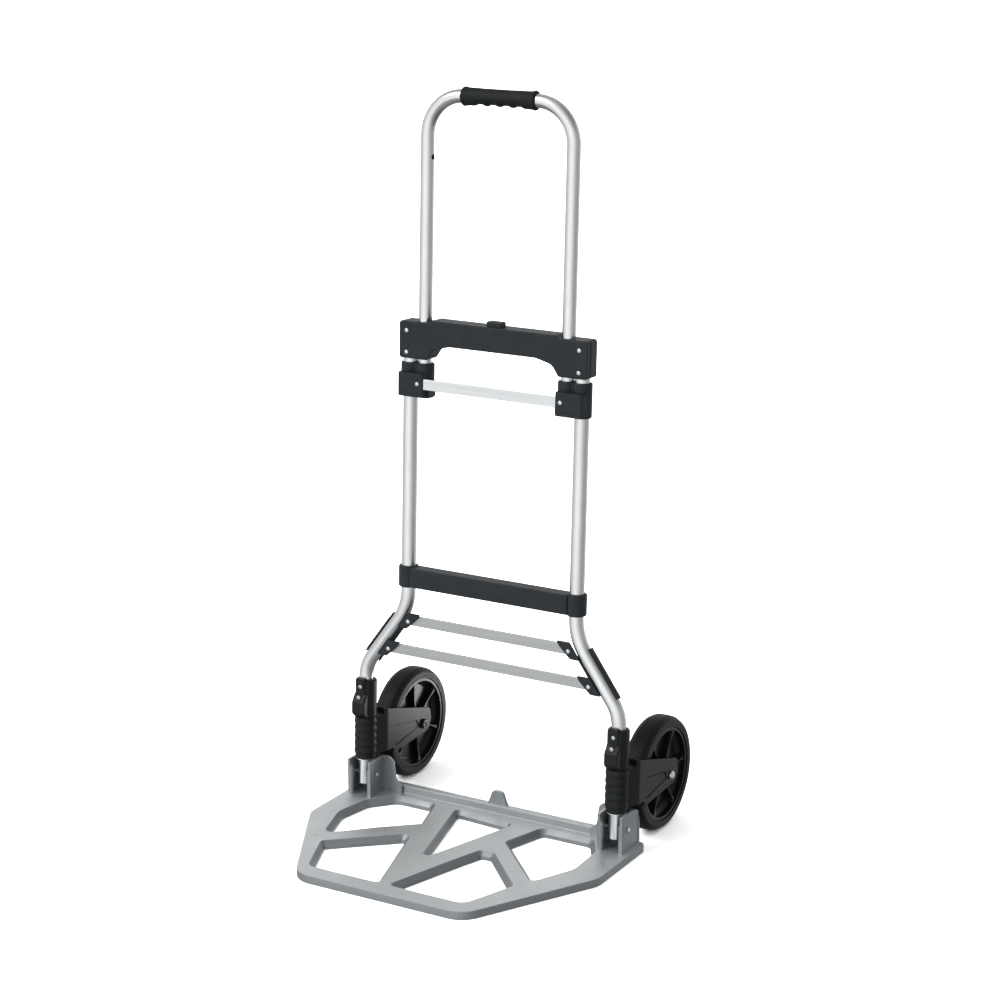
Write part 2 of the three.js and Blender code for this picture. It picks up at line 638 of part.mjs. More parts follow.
/** The grip: a round sleeve on the handle's top, flared at its ends, with finger grooves underneath. */
function grip() {
  const half = GRIP_LENGTH / 2;
  const bore = HANDLE_RADIUS + FIT_GAP;
  const sleeve = turned("x", [
    [bore, -half],
    [GRIP_RADIUS - 1, -half],
    [GRIP_RADIUS, -half + 4],
    [GRIP_RADIUS, half - 4],
    [GRIP_RADIUS - 1, half],
    [bore, half],
  ], [0, HANDLE_TOP]);
  const grooveRadius = (GROOVE_PITCH ** 2 / 4 + GROOVE_DEPTH ** 2) / (2 * GROOVE_DEPTH) - 1;
  const grooves = Array.from({ length: GROOVE_COUNT }, (_, i) => {
    const x = (i - (GROOVE_COUNT - 1) / 2) * GROOVE_PITCH;
    const z = HANDLE_TOP - GRIP_RADIUS + GROOVE_DEPTH - grooveRadius;
    return rod("y", grooveRadius, [-GRIP_RADIUS - 1, GRIP_RADIUS + 1], [x, z], 20);
  });
  return cut(sleeve, ...grooves);
}

const BAR_SLOT = [-SLIDER_BAR_FRONT - FIT_GAP, -SLIDER_BAR_FRONT + SLIDER_BAR_THICKNESS + FIT_GAP];

/** A slider block: it holds the end of a handle leg and runs on a lower tube. */
function slider(side) {
  const half = SLIDER_DEPTH / 2;
  const plan = outline([
    [side * SLIDER_INNER, -half, 9],
    [side * SLIDER_OUTER, -half, 9],
    [side * SLIDER_OUTER, half, 9],
    [side * SLIDER_INNER, half, 9],
  ]);
  const body = prism("xy", plan, [SLIDER_BOTTOM, SLIDER_TOP]);
  const front = block(
    span(side, SLIDER_BLOCK_INNER, SLIDER_BLOCK_OUTER),
    [-SLIDER_BLOCK_FRONT, -half + 5],
    [SLIDER_BOTTOM, SLIDER_BOTTOM + SLIDER_BLOCK_HEIGHT],
  );
  const slotHalf = SLIDER_BAR_HEIGHT / 2 + FIT_GAP;
  const slot = block(
    span(side, SLIDER_INNER - 5, SLIDER_BAR_HALF_LENGTH + FIT_GAP),
    BAR_SLOT,
    [SLIDER_BAR_CENTRE - slotHalf, SLIDER_BAR_CENTRE + slotHalf],
  );
  const tubeAxis = [side * TUBE_HALF_SPACING, 0];
  const legAxis = [side * HANDLE_HALF_SPACING, 0];
  const tubeBore = rod("z", TUBE_RADIUS + SLIDE_GAP, [SLIDER_BOTTOM - 1, SLIDER_TOP + 1], tubeAxis);
  const legSocket = rod("z", HANDLE_RADIUS + FIT_GAP, [HANDLE_END - FIT_GAP, SLIDER_TOP + 1], legAxis);
  const hole = rivetHole(side * HANDLE_HALF_SPACING, SLIDER_BAR_CENTRE, -SLIDER_BLOCK_FRONT - 1, half + 1);
  return cut(join(body, front), slot, tubeBore, legSocket, hole);
}

function sliderBar() {
  const half = SLIDER_BAR_HEIGHT / 2;
  const bar = block(
    [-SLIDER_BAR_HALF_LENGTH, SLIDER_BAR_HALF_LENGTH],
    [-SLIDER_BAR_FRONT, -SLIDER_BAR_FRONT + SLIDER_BAR_THICKNESS],
    [SLIDER_BAR_CENTRE - half, SLIDER_BAR_CENTRE + half],
  );
  const holes = SIDE_NAMES.map(([, side]) =>
    rivetHole(side * HANDLE_HALF_SPACING, SLIDER_BAR_CENTRE, -SLIDER_BLOCK_FRONT, 0));
  return cut(bar, ...holes);
}

const sliderRivet = (side) =>
  rivet(side * HANDLE_HALF_SPACING, SLIDER_BAR_CENTRE, -SLIDER_BLOCK_FRONT, SLIDER_DEPTH / 2);

// ---------------------------------------------------------------- crossbar

/** The crossbar: a channel open to the rear, stiffened by ribs, with a clamp round each lower tube. */
function lowerCrossbar() {
  const reach = TUBE_HALF_SPACING - TUBE_RADIUS;
  const top = CROSSBAR_BOTTOM + CROSSBAR_HEIGHT;
  const bar = block([-reach, reach], [-CROSSBAR_FRONT, CROSSBAR_REAR], [CROSSBAR_BOTTOM, top]);
  const innerHalf = TUBE_HALF_SPACING - CLAMP_RADIUS;
  const pitch = (2 * innerHalf) / CROSSBAR_RIB_COUNT;
  const pockets = Array.from({ length: CROSSBAR_RIB_COUNT }, (_, i) => {
    const from = -innerHalf + i * pitch;
    return block(
      [from + CROSSBAR_WALL / 2, from + pitch - CROSSBAR_WALL / 2],
      [-CROSSBAR_FRONT + CROSSBAR_WALL, CROSSBAR_REAR + 1],
      [CROSSBAR_BOTTOM + CROSSBAR_WALL, top - CROSSBAR_WALL],
    );
  });
  const clamps = SIDE_NAMES.map(([, side]) =>
    rod("z", CLAMP_RADIUS, [CLAMP_MIDDLE - CLAMP_HEIGHT / 2, CLAMP_TOP], [side * TUBE_HALF_SPACING, 0]));
  const bores = SIDE_NAMES.map(([, side]) =>
    rod("z", TUBE_RADIUS + FIT_GAP, [CROSSBAR_BOTTOM - 10, top + 10], [side * TUBE_HALF_SPACING, 0]));
  const screwHoles = SIDE_NAMES.map(([, side]) => {
    const axis = [side * TUBE_HALF_SPACING, CLAMP_MIDDLE];
    return rod("y", SCREW_RADIUS + FIT_GAP, [0, CLAMP_RADIUS + 1], axis, PIN_SIDES);
  });
  return cut(join(cut(bar, ...pockets), ...clamps), ...bores, ...screwHoles);
}

/** The screw that holds a crossbar clamp on its tube, from behind. */
function crossbarScrew(side) {
  return screw(0, 0, -CLAMP_RADIUS - FIT_GAP, -TUBE_RADIUS + TUBE_WALL + 3)
    .rotateZ(Math.PI)
    .translate(side * TUBE_HALF_SPACING, 0, CLAMP_MIDDLE);
}

// ---------------------------------------------------------------- strut saddles and struts

const SLANT_RUN = HUB_HALF_SPACING - TUBE_HALF_SPACING;
const SLANT_ANGLE = Math.atan2(SLANT_RUN, SLANT_DROP); // from the upright
const SLANT_LENGTH = Math.hypot(SLANT_RUN, SLANT_DROP);
const UPPER_TANGENT = UPPER_BEND_RADIUS * Math.tan(SLANT_ANGLE / 2);
const LOWER_TANGENT = LOWER_BEND_RADIUS * Math.tan(SLANT_ANGLE / 2);
const SLANT_SHARE = (UPPER_TANGENT + SLANT_LENGTH - LOWER_TANGENT) / 2 / SLANT_LENGTH;
const SLANT_MIDDLE = [
  TUBE_HALF_SPACING + SLANT_SHARE * SLANT_RUN,
  UPPER_BEND_HEIGHT - SLANT_SHARE * SLANT_DROP,
];
const SADDLE_LENGTH = SLANT_LENGTH - UPPER_TANGENT - LOWER_TANGENT - 2 * SADDLE_END_GAP;
const STRUT_PITCH = SADDLE_LENGTH * Math.cos(SLANT_ANGLE) - 2 * STRUT_INSET;
const STRUT_CENTRES = [1, -1].map((end) => SLANT_MIDDLE[1] + STRUT_RISE + (end * STRUT_PITCH) / 2);

/** Distance from the centre plane of the slanting tube's axis at a height. */
const slantX = (z) => TUBE_HALF_SPACING + ((UPPER_BEND_HEIGHT - z) * SLANT_RUN) / SLANT_DROP;
const LUG_INNER_SIDE =
  (SADDLE_RADIUS * Math.cos(THREE.MathUtils.degToRad(SADDLE_FRONT_ANGLE))) / Math.cos(SLANT_ANGLE);
const LUG_BACK = LUG_FRONT - LUG_THICKNESS;

/** Outer corner of a lug in height, and its rivet's distance from the centre plane. */
const lugTop = (strutCentre) => strutCentre + STRUT_HEIGHT / 2 + 3.5;
const lugRivetX = (strutCentre) => slantX(strutCentre) - LUG_INNER_SIDE - LUG_REACH / 2 + 2;
const lugRivetHeight = (strutCentre) => strutCentre - 2;
const strutRivetHole = (side, centre) =>
  rivetHole(side * lugRivetX(centre), lugRivetHeight(centre), -LUG_FRONT - 1, 0);

/** A saddle: a channel round the back of the slanting tube, and two lugs on its inner edge. */
function strutBracket(side) {
  const toAngle = THREE.MathUtils.degToRad;
  const from = side > 0 ? -SADDLE_OUTER_ANGLE : -SADDLE_FRONT_ANGLE;
  const to = 180 + (side > 0 ? SADDLE_FRONT_ANGLE : SADDLE_OUTER_ANGLE);
  const section = new THREE.Shape();
  section.absarc(0, 0, SADDLE_RADIUS, toAngle(from), toAngle(to), false);
  section.absarc(0, 0, TUBE_RADIUS + FIT_GAP, toAngle(to), toAngle(from), true);
  const channel = prism("xy", section, [-SADDLE_LENGTH / 2, SADDLE_LENGTH / 2]);
  channel.rotateY(-side * SLANT_ANGLE);
  channel.translate(side * SLANT_MIDDLE[0], 0, SLANT_MIDDLE[1]);
  const lugs = STRUT_CENTRES.map((centre) => {
    const top = lugTop(centre);
    const bottom = top - LUG_HEIGHT;
    const edge = (z) => slantX(z) - LUG_INNER_SIDE;
    const shape = outline([
      [side * (edge(top) + 3), top],
      [side * (edge(top) - LUG_REACH), top, 1.5],
      [side * (edge(bottom) - LUG_REACH + 2), bottom, 5],
      [side * (edge(bottom) + 3), bottom],
    ]);
    return prism("xz", shape, [-LUG_FRONT, -LUG_BACK]);
  });
  const tubeBore = rod("z", TUBE_RADIUS + FIT_GAP, [-SADDLE_LENGTH, SADDLE_LENGTH], [0, 0]);
  tubeBore.rotateY(-side * SLANT_ANGLE);
  tubeBore.translate(side * SLANT_MIDDLE[0], 0, SLANT_MIDDLE[1]);
  const holes = STRUT_CENTRES.map((centre) => strutRivetHole(side, centre));
  return cut(join(channel, ...lugs), tubeBore, ...holes);
}

/** A flat strut behind the lugs, its ends cut to the tubes' slant. */
function strut(centre) {
  const clear = (TUBE_RADIUS + 1) / Math.cos(SLANT_ANGLE);
  const top = centre + STRUT_HEIGHT / 2;
  const bottom = centre - STRUT_HEIGHT / 2;
  const shape = outline([
    [slantX(bottom) - clear, bottom],
    [slantX(top) - clear, top],
    [-slantX(top) + clear, top],
    [-slantX(bottom) + clear, bottom],
  ]);
  const front = -LUG_BACK + FIT_GAP;
  const bar = prism("xz", shape, [front, front + STRUT_THICKNESS]);
  const saddles = SIDE_NAMES.map(([, side]) => {
    const clearance = rod("z", SADDLE_RADIUS + FIT_GAP, [-SADDLE_LENGTH, SADDLE_LENGTH], [0, 0], 20);
    clearance.rotateY(-side * SLANT_ANGLE);
    return clearance.translate(side * SLANT_MIDDLE[0], 0, SLANT_MIDDLE[1]);
  });
  const holes = SIDE_NAMES.map(([, side]) => strutRivetHole(side, centre));
  return cut(bar, ...saddles, ...holes);
}

const STRUT_BACK = -LUG_BACK + FIT_GAP + STRUT_THICKNESS;

const strutRivet = (side, centre) =>
  rivet(side * lugRivetX(centre), lugRivetHeight(centre), -LUG_FRONT, STRUT_BACK);

// ---------------------------------------------------------------- collars

const COLLAR_TOP = COLLAR_BOTTOM + COLLAR_HEIGHT;
const SCREW_SEATS = [BOSS_FRONT - 4, COLLAR_RADIUS - 0.6];

/** A collar round the tube, with a boss in front of its lower half. */
function collar(side) {
  const x = side * HUB_HALF_SPACING;
  const bossTop = COLLAR_BOTTOM + BOSS_HEIGHT;
  const sleeve = turned("z", [
    [0, COLLAR_BOTTOM],
    [COLLAR_RADIUS, COLLAR_BOTTOM],
    [COLLAR_RADIUS, COLLAR_TOP - 2],
    [COLLAR_RADIUS - 2, COLLAR_TOP],
    [0, COLLAR_TOP],
  ], [x, 0], COLLAR_SIDES);
  const profile = outline([
    [0, COLLAR_BOTTOM],
    [0, bossTop],
    [-COLLAR_RADIUS + 1, bossTop, 2],
    [-BOSS_FRONT, bossTop - BOSS_SLOPE, 6],
    [-BOSS_FRONT, COLLAR_BOTTOM + 8, 5],
    [-COLLAR_RADIUS, COLLAR_BOTTOM],
  ]);
  const boss = prism("yz", profile, [x - BOSS_HALF_WIDTH, x + BOSS_HALF_WIDTH]);
  const bore = rod("z", TUBE_RADIUS + FIT_GAP, [COLLAR_BOTTOM - 1, COLLAR_TOP + 1], [x, 0]);
  const holes = COLLAR_SCREW_HEIGHTS.flatMap((z, i) => [
    rod("y", SCREW_RADIUS + FIT_GAP, [-BOSS_FRONT - 1, 0], [x, z], PIN_SIDES),
    rod("y", SCREW_HEAD_RADIUS + FIT_GAP, [-BOSS_FRONT - 1, -SCREW_SEATS[i]], [x, z], PIN_SIDES),
  ]);
  return cut(join(sleeve, boss), bore, ...holes);
}

function collarScrew(side, index) {
  const tip = -TUBE_RADIUS + TUBE_WALL + 2;
  return screw(side * HUB_HALF_SPACING, COLLAR_SCREW_HEIGHTS[index], -SCREW_SEATS[index], tip);
}

function forkWasher(side) {
  const top = BARREL_BOTTOM - FIT_GAP;
  const levels = [top - WASHER_THICKNESS, top];
  return ring("z", WASHER_RADIUS, TUBE_RADIUS + FIT_GAP, levels, [side * HUB_HALF_SPACING, 0]);
}

// ---------------------------------------------------------------- forks and wheels

// The axle's height along the tubes puts the wheel on the floor while the frame leans.
const AXLE_HEIGHT = (WHEEL_RADIUS + AXLE_BACK * Math.sin(LEAN)) / Math.cos(LEAN);
const BARREL_TOP = COLLAR_BOTTOM - SLIDE_GAP;
const HUB_HALF_LENGTH = FORK_HALF_WIDTH - FORK_ARM_THICKNESS - SLIDE_GAP;

/** A ribbed barrel round the tube, and two arms that straddle the wheel. */
function wheelFork() {
  const waveFrom = FORK_CLEAR_BOTTOM;
  const pitch = (BARREL_TOP - waveFrom) / BARREL_WAVE_COUNT;
  const waves = Array.from({ length: BARREL_WAVE_COUNT }, (_, i) => [
    [BARREL_RADIUS, waveFrom + pitch * (i + 0.4)],
    [BARREL_RADIUS - BARREL_WAVE, waveFrom + pitch * (i + 1)],
  ]).flat();
  const barrel = turned("z", [
    [0, BARREL_BOTTOM],
    [BARREL_END_RADIUS, BARREL_BOTTOM],
    [BARREL_END_RADIUS, waveFrom],
    ...waves,
    [0, BARREL_TOP],
  ], [0, 0]);
  const armEnd = AXLE_BACK + ARM_END_BACK;
  const innerHalf = FORK_HALF_WIDTH - FORK_ARM_THICKNESS;
  const plan = outline([
    [-BARREL_END_RADIUS, 0],
    [-FORK_HALF_WIDTH, 24, 14],
    [-FORK_HALF_WIDTH, armEnd],
    [-innerHalf, armEnd],
    [-innerHalf, YOKE_BACK, 8],
    [innerHalf, YOKE_BACK, 8],
    [innerHalf, armEnd],
    [FORK_HALF_WIDTH, armEnd],
    [FORK_HALF_WIDTH, 24, 14],
    [BARREL_END_RADIUS, 0],
  ]);
  const profile = outline([
    [0, FORK_CLEAR_BOTTOM],
    [FORK_CLEAR_RADIUS, FORK_CLEAR_BOTTOM],
    [FORK_CLEAR_RADIUS + 3, FORK_BOTTOM],
    [armEnd - 8, FORK_END_BOTTOM, 12],
    [armEnd, AXLE_HEIGHT + 2, 12],
    [armEnd - 10, ARM_TOP_BACK, 9],
    [0, ARM_TOP_FRONT],
  ]);
  const arms = common(
    prism("xy", plan, [FORK_BOTTOM - 5, ARM_TOP_FRONT + 5]),
    prism("yz", profile, [-FORK_HALF_WIDTH - 5, FORK_HALF_WIDTH + 5]),
  );
  const tubeBore = rod("z", TUBE_RADIUS + SLIDE_GAP, [BARREL_BOTTOM - 5, ARM_TOP_FRONT + 5], [0, 0]);
  const bossSweep = Math.hypot(BOSS_FRONT, BOSS_HALF_WIDTH) + 2 * SLIDE_GAP;
  const collarSpace = rod("z", bossSweep, [BARREL_TOP, ARM_TOP_FRONT + 5], [0, 0], COLLAR_SIDES);
  const across = [-FORK_HALF_WIDTH - 1, FORK_HALF_WIDTH + 1];
  const axleHole = rod("x", AXLE_RADIUS + FIT_GAP, across, [AXLE_BACK, AXLE_HEIGHT], PIN_SIDES);
  return cut(join(barrel, arms), tubeBore, collarSpace, axleHole);
}

/** The axle bolt; its head faces outwards. */
function axleBolt(side) {
  const seat = FORK_HALF_WIDTH + FIT_GAP;
  const tip = -FORK_HALF_WIDTH - AXLE_TIP;
  const bolt = turned("x", [
    [0, tip],
    [AXLE_RADIUS, tip],
    [AXLE_RADIUS, seat],
    [AXLE_HEAD_RADIUS, seat],
    [AXLE_HEAD_RADIUS, seat + AXLE_HEAD_HEIGHT * 0.6],
    [AXLE_HEAD_RADIUS * 0.7, seat + AXLE_HEAD_HEIGHT],
    [0, seat + AXLE_HEAD_HEIGHT],
  ], [0, 0], PIN_SIDES);
  return side > 0 ? bolt : bolt.rotateZ(Math.PI);
}

/** The round cap nut on the inner arm. */
function axleNut(side) {
  const from = FORK_HALF_WIDTH + FIT_GAP;
  const to = from + AXLE_CAP_HEIGHT;
  const cap = turned("x", [
    [0, from],
    [AXLE_CAP_RADIUS, from],
    [AXLE_CAP_RADIUS, to - 1],
    [AXLE_CAP_RADIUS - 1, to],
    [0, to],
  ], [0, 0]);
  const socketEnd = FORK_HALF_WIDTH + AXLE_TIP + FIT_GAP;
  const socket = rod("x", AXLE_RADIUS + FIT_GAP, [0, socketEnd], [0, 0], PIN_SIDES);
  const nut = cut(cap, socket);
  return side > 0 ? nut.rotateZ(Math.PI) : nut;
}

function tyre() {
  const half = WHEEL_HALF_WIDTH;
  return turned("x", [
    [TYRE_INNER_RADIUS, -half],
    [WHEEL_RADIUS - TYRE_SHOULDER, -half],
    [WHEEL_RADIUS, -half + TYRE_SHOULDER],
    [WHEEL_RADIUS, half - TYRE_SHOULDER],
    [WHEEL_RADIUS - TYRE_SHOULDER, half],
    [TYRE_INNER_RADIUS, half],
  ], [0, 0], WHEEL_SIDES);
}

/** The moulded rim: band, disc, spokes on both its faces, and hub with a seat for a bearing at each end. */
function wheelRim(phase) {
  const half = RIM_HALF_WIDTH;
  const seat = TYRE_INNER_RADIUS - FIT_GAP;
  const band = turned("x", [
    [RIM_OPENING_RADIUS, -half],
    [seat, -half],
    [seat, half],
    [RIM_OPENING_RADIUS, half],
  ], [0, 0], WHEEL_SIDES);
  const hub = rod("x", HUB_RADIUS, [-HUB_HALF_LENGTH, HUB_HALF_LENGTH], [0, 0]);
  const discLevels = [-RIM_DISC_THICKNESS / 2, RIM_DISC_THICKNESS / 2];
  const disc = rod("x", RIM_OPENING_RADIUS + 1, discLevels, [0, 0], WHEEL_SIDES);
  const spokes = Array.from({ length: SPOKE_COUNT }, (_, i) =>
    block(
      [-SPOKE_HALF_WIDTH, SPOKE_HALF_WIDTH],
      [-SPOKE_THICKNESS / 2, SPOKE_THICKNESS / 2],
      [HUB_RADIUS - 2, RIM_OPENING_RADIUS + 2],
    ).rotateX((i * 2 * Math.PI) / SPOKE_COUNT - THREE.MathUtils.degToRad(phase)));
  const bore = rod("x", AXLE_RADIUS + 2, [-HUB_HALF_LENGTH - 1, HUB_HALF_LENGTH + 1], [0, 0], PIN_SIDES);
  const seats = [-1, 1].map((end) => {
    const levels = span(end, HUB_HALF_LENGTH - BEARING_WIDTH - FIT_GAP, HUB_HALF_LENGTH + 1);
    return rod("x", BEARING_RADIUS + FIT_GAP, levels, [0, 0]);
  });
  return cut(join(band, disc, hub, ...spokes), bore, ...seats);
}

function bearing(end) {
  const levels = span(end, HUB_HALF_LENGTH - BEARING_WIDTH, HUB_HALF_LENGTH);
  return ring("x", BEARING_RADIUS, AXLE_RADIUS + FIT_GAP, levels, [0, 0]);
}

// ---------------------------------------------------------------- toe plate

const PIVOT_Y = PIVOT_HEIGHT * Math.tan(LEAN); // where the leaning tubes cross the pivot's height
const CHEEK_OUTER = CHEEK_GAP + CHEEK_THICKNESS;

/** The five windows of the casting: the corners at the top face, each with its radius. */
const WINDOWS = {
  rearLeft: [
    [-74, -62, 9], [-97, 14, 14], [-166, 14, 26], [-200, -25, 26],
    [-210, -85, 40], [-184, -167, 11], [-125, -107, 60],
  ],
  frontLeft: [[-171, -191, 8], [-68, -101, 12], [-14, -275, 9], [-137, -275, 16]],
  middle: [[-62, 13, 9], [46, 5, 10], [-10, -180, 8]],
  frontMiddle: [
    [-2, -275, 8], [36, -146, 30], [50, -103, 10], [72, -101, 10], [154, -188, 10], [123, -275, 20],
  ],
  rearRight: [
    [66, -60, 9], [88, 14, 16], [176, 14, 20], [199, -26, 22], [201, -95, 40], [168, -166, 9],
  ],
};

function plateOutline() {
  const half = [
    [PLATE_CORNER_X, -PLATE_FRONT, PLATE_CORNER_RADIUS],
    [PLATE_HALF_WIDTH, -PLATE_SIDE_CORNER_Y, PLATE_CORNER_RADIUS],
    [PLATE_HALF_WIDTH, PLATE_REAR, 8],
  ];
  const mirrored = half.map(([x, y, radius]) => [-x, y, radius]).reverse();
  return outline([...half, ...mirrored], 5);
}

/** A window cutter: upright in its lower part, and flared out to the outline at the top face. */
function windowCutter(corners) {
  const cutter = new THREE.ExtrudeGeometry(outline(corners), {
    depth: PLATE_THICKNESS,
    bevelThickness: WINDOW_CHAMFER,
    bevelSize: -WINDOW_CHAMFER,
    bevelSegments: 1,
  });
  return cutter.translate(0, 0, -WINDOW_CHAMFER);
}

/** The rear rail from bracket to bracket, with the foot tab standing on its middle. */
function rearRail() {
  const reach = HUB_HALF_SPACING - CHEEK_GAP;
  const rear = PLATE_REAR;
  const top = PLATE_THICKNESS + RAIL_HEIGHT;
  const profile = outline([
    [rear - RAIL_DEPTH - 5, PLATE_THICKNESS - 1],
    [rear - RAIL_DEPTH, top, 2.5],
    [rear, top, 2.5],
    [rear, PLATE_THICKNESS - 1],
  ]);
  const tab = outline([
    [-TAB_HALF_WIDTH, PLATE_THICKNESS],
    [-TAB_TOP_RADIUS - 2, TAB_TOP - TAB_TOP_RADIUS, 12],
    [-TAB_TOP_RADIUS, TAB_TOP, TAB_TOP_RADIUS - 1],
    [TAB_TOP_RADIUS, TAB_TOP, TAB_TOP_RADIUS - 1],
    [TAB_TOP_RADIUS + 2, TAB_TOP - TAB_TOP_RADIUS, 12],
    [TAB_HALF_WIDTH, PLATE_THICKNESS],
  ]);
  return [prism("yz", profile, [-reach, reach]), prism("xz", tab, [rear - TAB_THICKNESS - 2, rear - 2])];
}

/** A channel round a tube's lower end: two cheeks, a web behind, and a gusset down to the rail. */
function tubeBracket(side) {
  const x = side * HUB_HALF_SPACING;
  const front = PIVOT_Y - CHEEK_FRONT;
  const rear = PIVOT_Y + CHEEK_REAR;
  const base = PLATE_THICKNESS - 1;
  const channel = block([x - CHEEK_OUTER, x + CHEEK_OUTER], [front, rear], [base, CHEEK_TOP]);
  const slotDepth = [front - 1, rear - WEB_THICKNESS];
  const slot = block([x - CHEEK_GAP, x + CHEEK_GAP], slotDepth, [PLATE_THICKNESS, CHEEK_TOP + 1]);
  const gussetFoot = x - side * (CHEEK_OUTER + GUSSET_WIDTH);
  const gussetShape = outline([
    [x - side * CHEEK_GAP, base],
    [x - side * CHEEK_GAP, CHEEK_TOP],
    [x - side * (CHEEK_OUTER + 12), CHEEK_TOP, 14],
    [gussetFoot + side * 6, PLATE_THICKNESS + RAIL_HEIGHT + 6, 10],
    [gussetFoot, base],
  ]);
  const gusset = prism("xz", gussetShape, [rear - WEB_THICKNESS, rear]);
  const pinHole = rod("x", PIVOT_RADIUS + FIT_GAP, [x - 40, x + 40], [PIVOT_Y, PIVOT_HEIGHT], PIN_SIDES);
  return cut(join(channel, gusset), slot, pinHole);
}

function toePlate() {
  const slab = prism("xy", plateOutline(), [0, PLATE_THICKNESS]);
  const cutters = Object.values(WINDOWS).map(windowCutter);
  const brackets = SIDE_NAMES.map(([, side]) => tubeBracket(side));
  return join(cut(slab, ...cutters), ...rearRail(), ...brackets);
}

/** The pin through a tube's end, headed at both ends. */
function pivotPin(side) {
  const seat = CHEEK_OUTER + FIT_GAP / 2;
  const head = PIVOT_RADIUS + 1.6;
  return turned("x", [
    [0, -seat - 1.6],
    [head * 0.7, -seat - 1.6],
    [head, -seat],
    [PIVOT_RADIUS, -seat],
    [PIVOT_RADIUS, seat],
    [head, seat],
    [head * 0.7, seat + 1.6],
    [0, seat + 1.6],
  ], [PIVOT_Y, PIVOT_HEIGHT], PIN_SIDES).translate(side * HUB_HALF_SPACING, 0, 0);
}

// ---------------------------------------------------------------- assembly

add(frame, "bridge_housing", bridgeHousing(), blackPlastic);
add(frame, "bridge_rear_cover", bridgeRearCover(), blackPlastic);
add(frame, "release_button", releaseButton(), blackPlastic);
add(frame, "button_spring", buttonSpring(), zincSteel);
add(frame, "lower_crossbar", lowerCrossbar(), blackPlastic);
add(frame, "upper_strut", strut(STRUT_CENTRES[0]), aluminium);
add(frame, "lower_strut", strut(STRUT_CENTRES[1]), aluminium);
add(handle, "handle_tube", handleTube(), aluminium);
add(handle, "grip", grip(), blackRubber);
add(handle, "slider_bar", sliderBar(), aluminium);
add(truck, "toe_plate", toePlate(), castAluminium);

for (const [name, side] of SIDE_NAMES) {
  add(frame, `lower_tube_${name}`, lowerTube(side), aluminium);
  add(frame, `tube_plug_${name}`, tubePlug(side), blackPlastic);
  add(frame, `lock_pin_${name}`, lockPin(side), zincSteel);
  add(frame, `lock_spring_${name}`, lockSpring(side), zincSteel);
  add(frame, `crossbar_screw_${name}`, crossbarScrew(side), zincSteel);
  add(frame, `strut_bracket_${name}`, strutBracket(side), blackPlastic);
  add(frame, `collar_${name}`, collar(side), blackPlastic);
  add(frame, `fork_washer_${name}`, forkWasher(side), zincSteel);
  add(handle, `slider_${name}`, slider(side), blackPlastic);
  add(handle, `slider_rivet_${name}`, sliderRivet(side), zincSteel);
  add(truck, `pivot_pin_${name}`, pivotPin(side), zincSteel);

  for (const [index, level] of ["lower", "upper"].entries()) {
    add(frame, `bridge_rivet_${level}_${name}`, bridgeRivet(side, index), zincSteel);
    add(frame, `collar_screw_${level}_${name}`, collarScrew(side, index), zincSteel);
  }
  for (const [index, level] of ["upper", "lower"].entries()) {
    add(frame, `strut_rivet_${level}_${name}`, strutRivet(side, STRUT_CENTRES[index]), zincSteel);
  }

  const fork = new THREE.Group();
  fork.position.x = side * HUB_HALF_SPACING;
  frame.add(fork);
  add(fork, `wheel_fork_${name}`, wheelFork(), blackPlastic);

  const wheel = new THREE.Group();
  wheel.position.set(0, AXLE_BACK, AXLE_HEIGHT);
  fork.add(wheel);
  add(wheel, `tyre_${name}`, tyre(), blackRubber);
  add(wheel, `wheel_rim_${name}`, wheelRim(SPOKE_PHASE[name]), blackPlastic);
  add(wheel, `axle_bolt_${name}`, axleBolt(side), zincSteel);
  add(wheel, `axle_nut_${name}`, axleNut(side), blackPlastic);
  for (const [place, end] of [["inner", -side], ["outer", side]]) {
    add(wheel, `bearing_${place}_${name}`, bearing(end), zincSteel);
  }
}

// The truck's origin is on the floor, midway between the toe plate's front edge and the back of the wheels.
const axleY = AXLE_BACK * Math.cos(LEAN) + AXLE_HEIGHT * Math.sin(LEAN);
truck.position.y = (PLATE_FRONT - (axleY + WHEEL_RADIUS)) / 2;

export default truck;
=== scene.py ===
# %% [markdown]
# # A folding hand truck
#
# This lesson dresses a folding aluminium hand truck: a cast toe plate, two bent frame tubes, a sliding
# loop handle, black moulded fittings and two spoked wheels. The plain solids of the part are loaded
# first and never move. Every piece below is drawn at its real size over one of them, in millimetres,
# and then settled into the frame in metres.

# %% Load the frame
import json
import math

import bmesh
import bpy
from mathutils import Matrix, Vector
from mathutils.geometry import tessellate_polygon


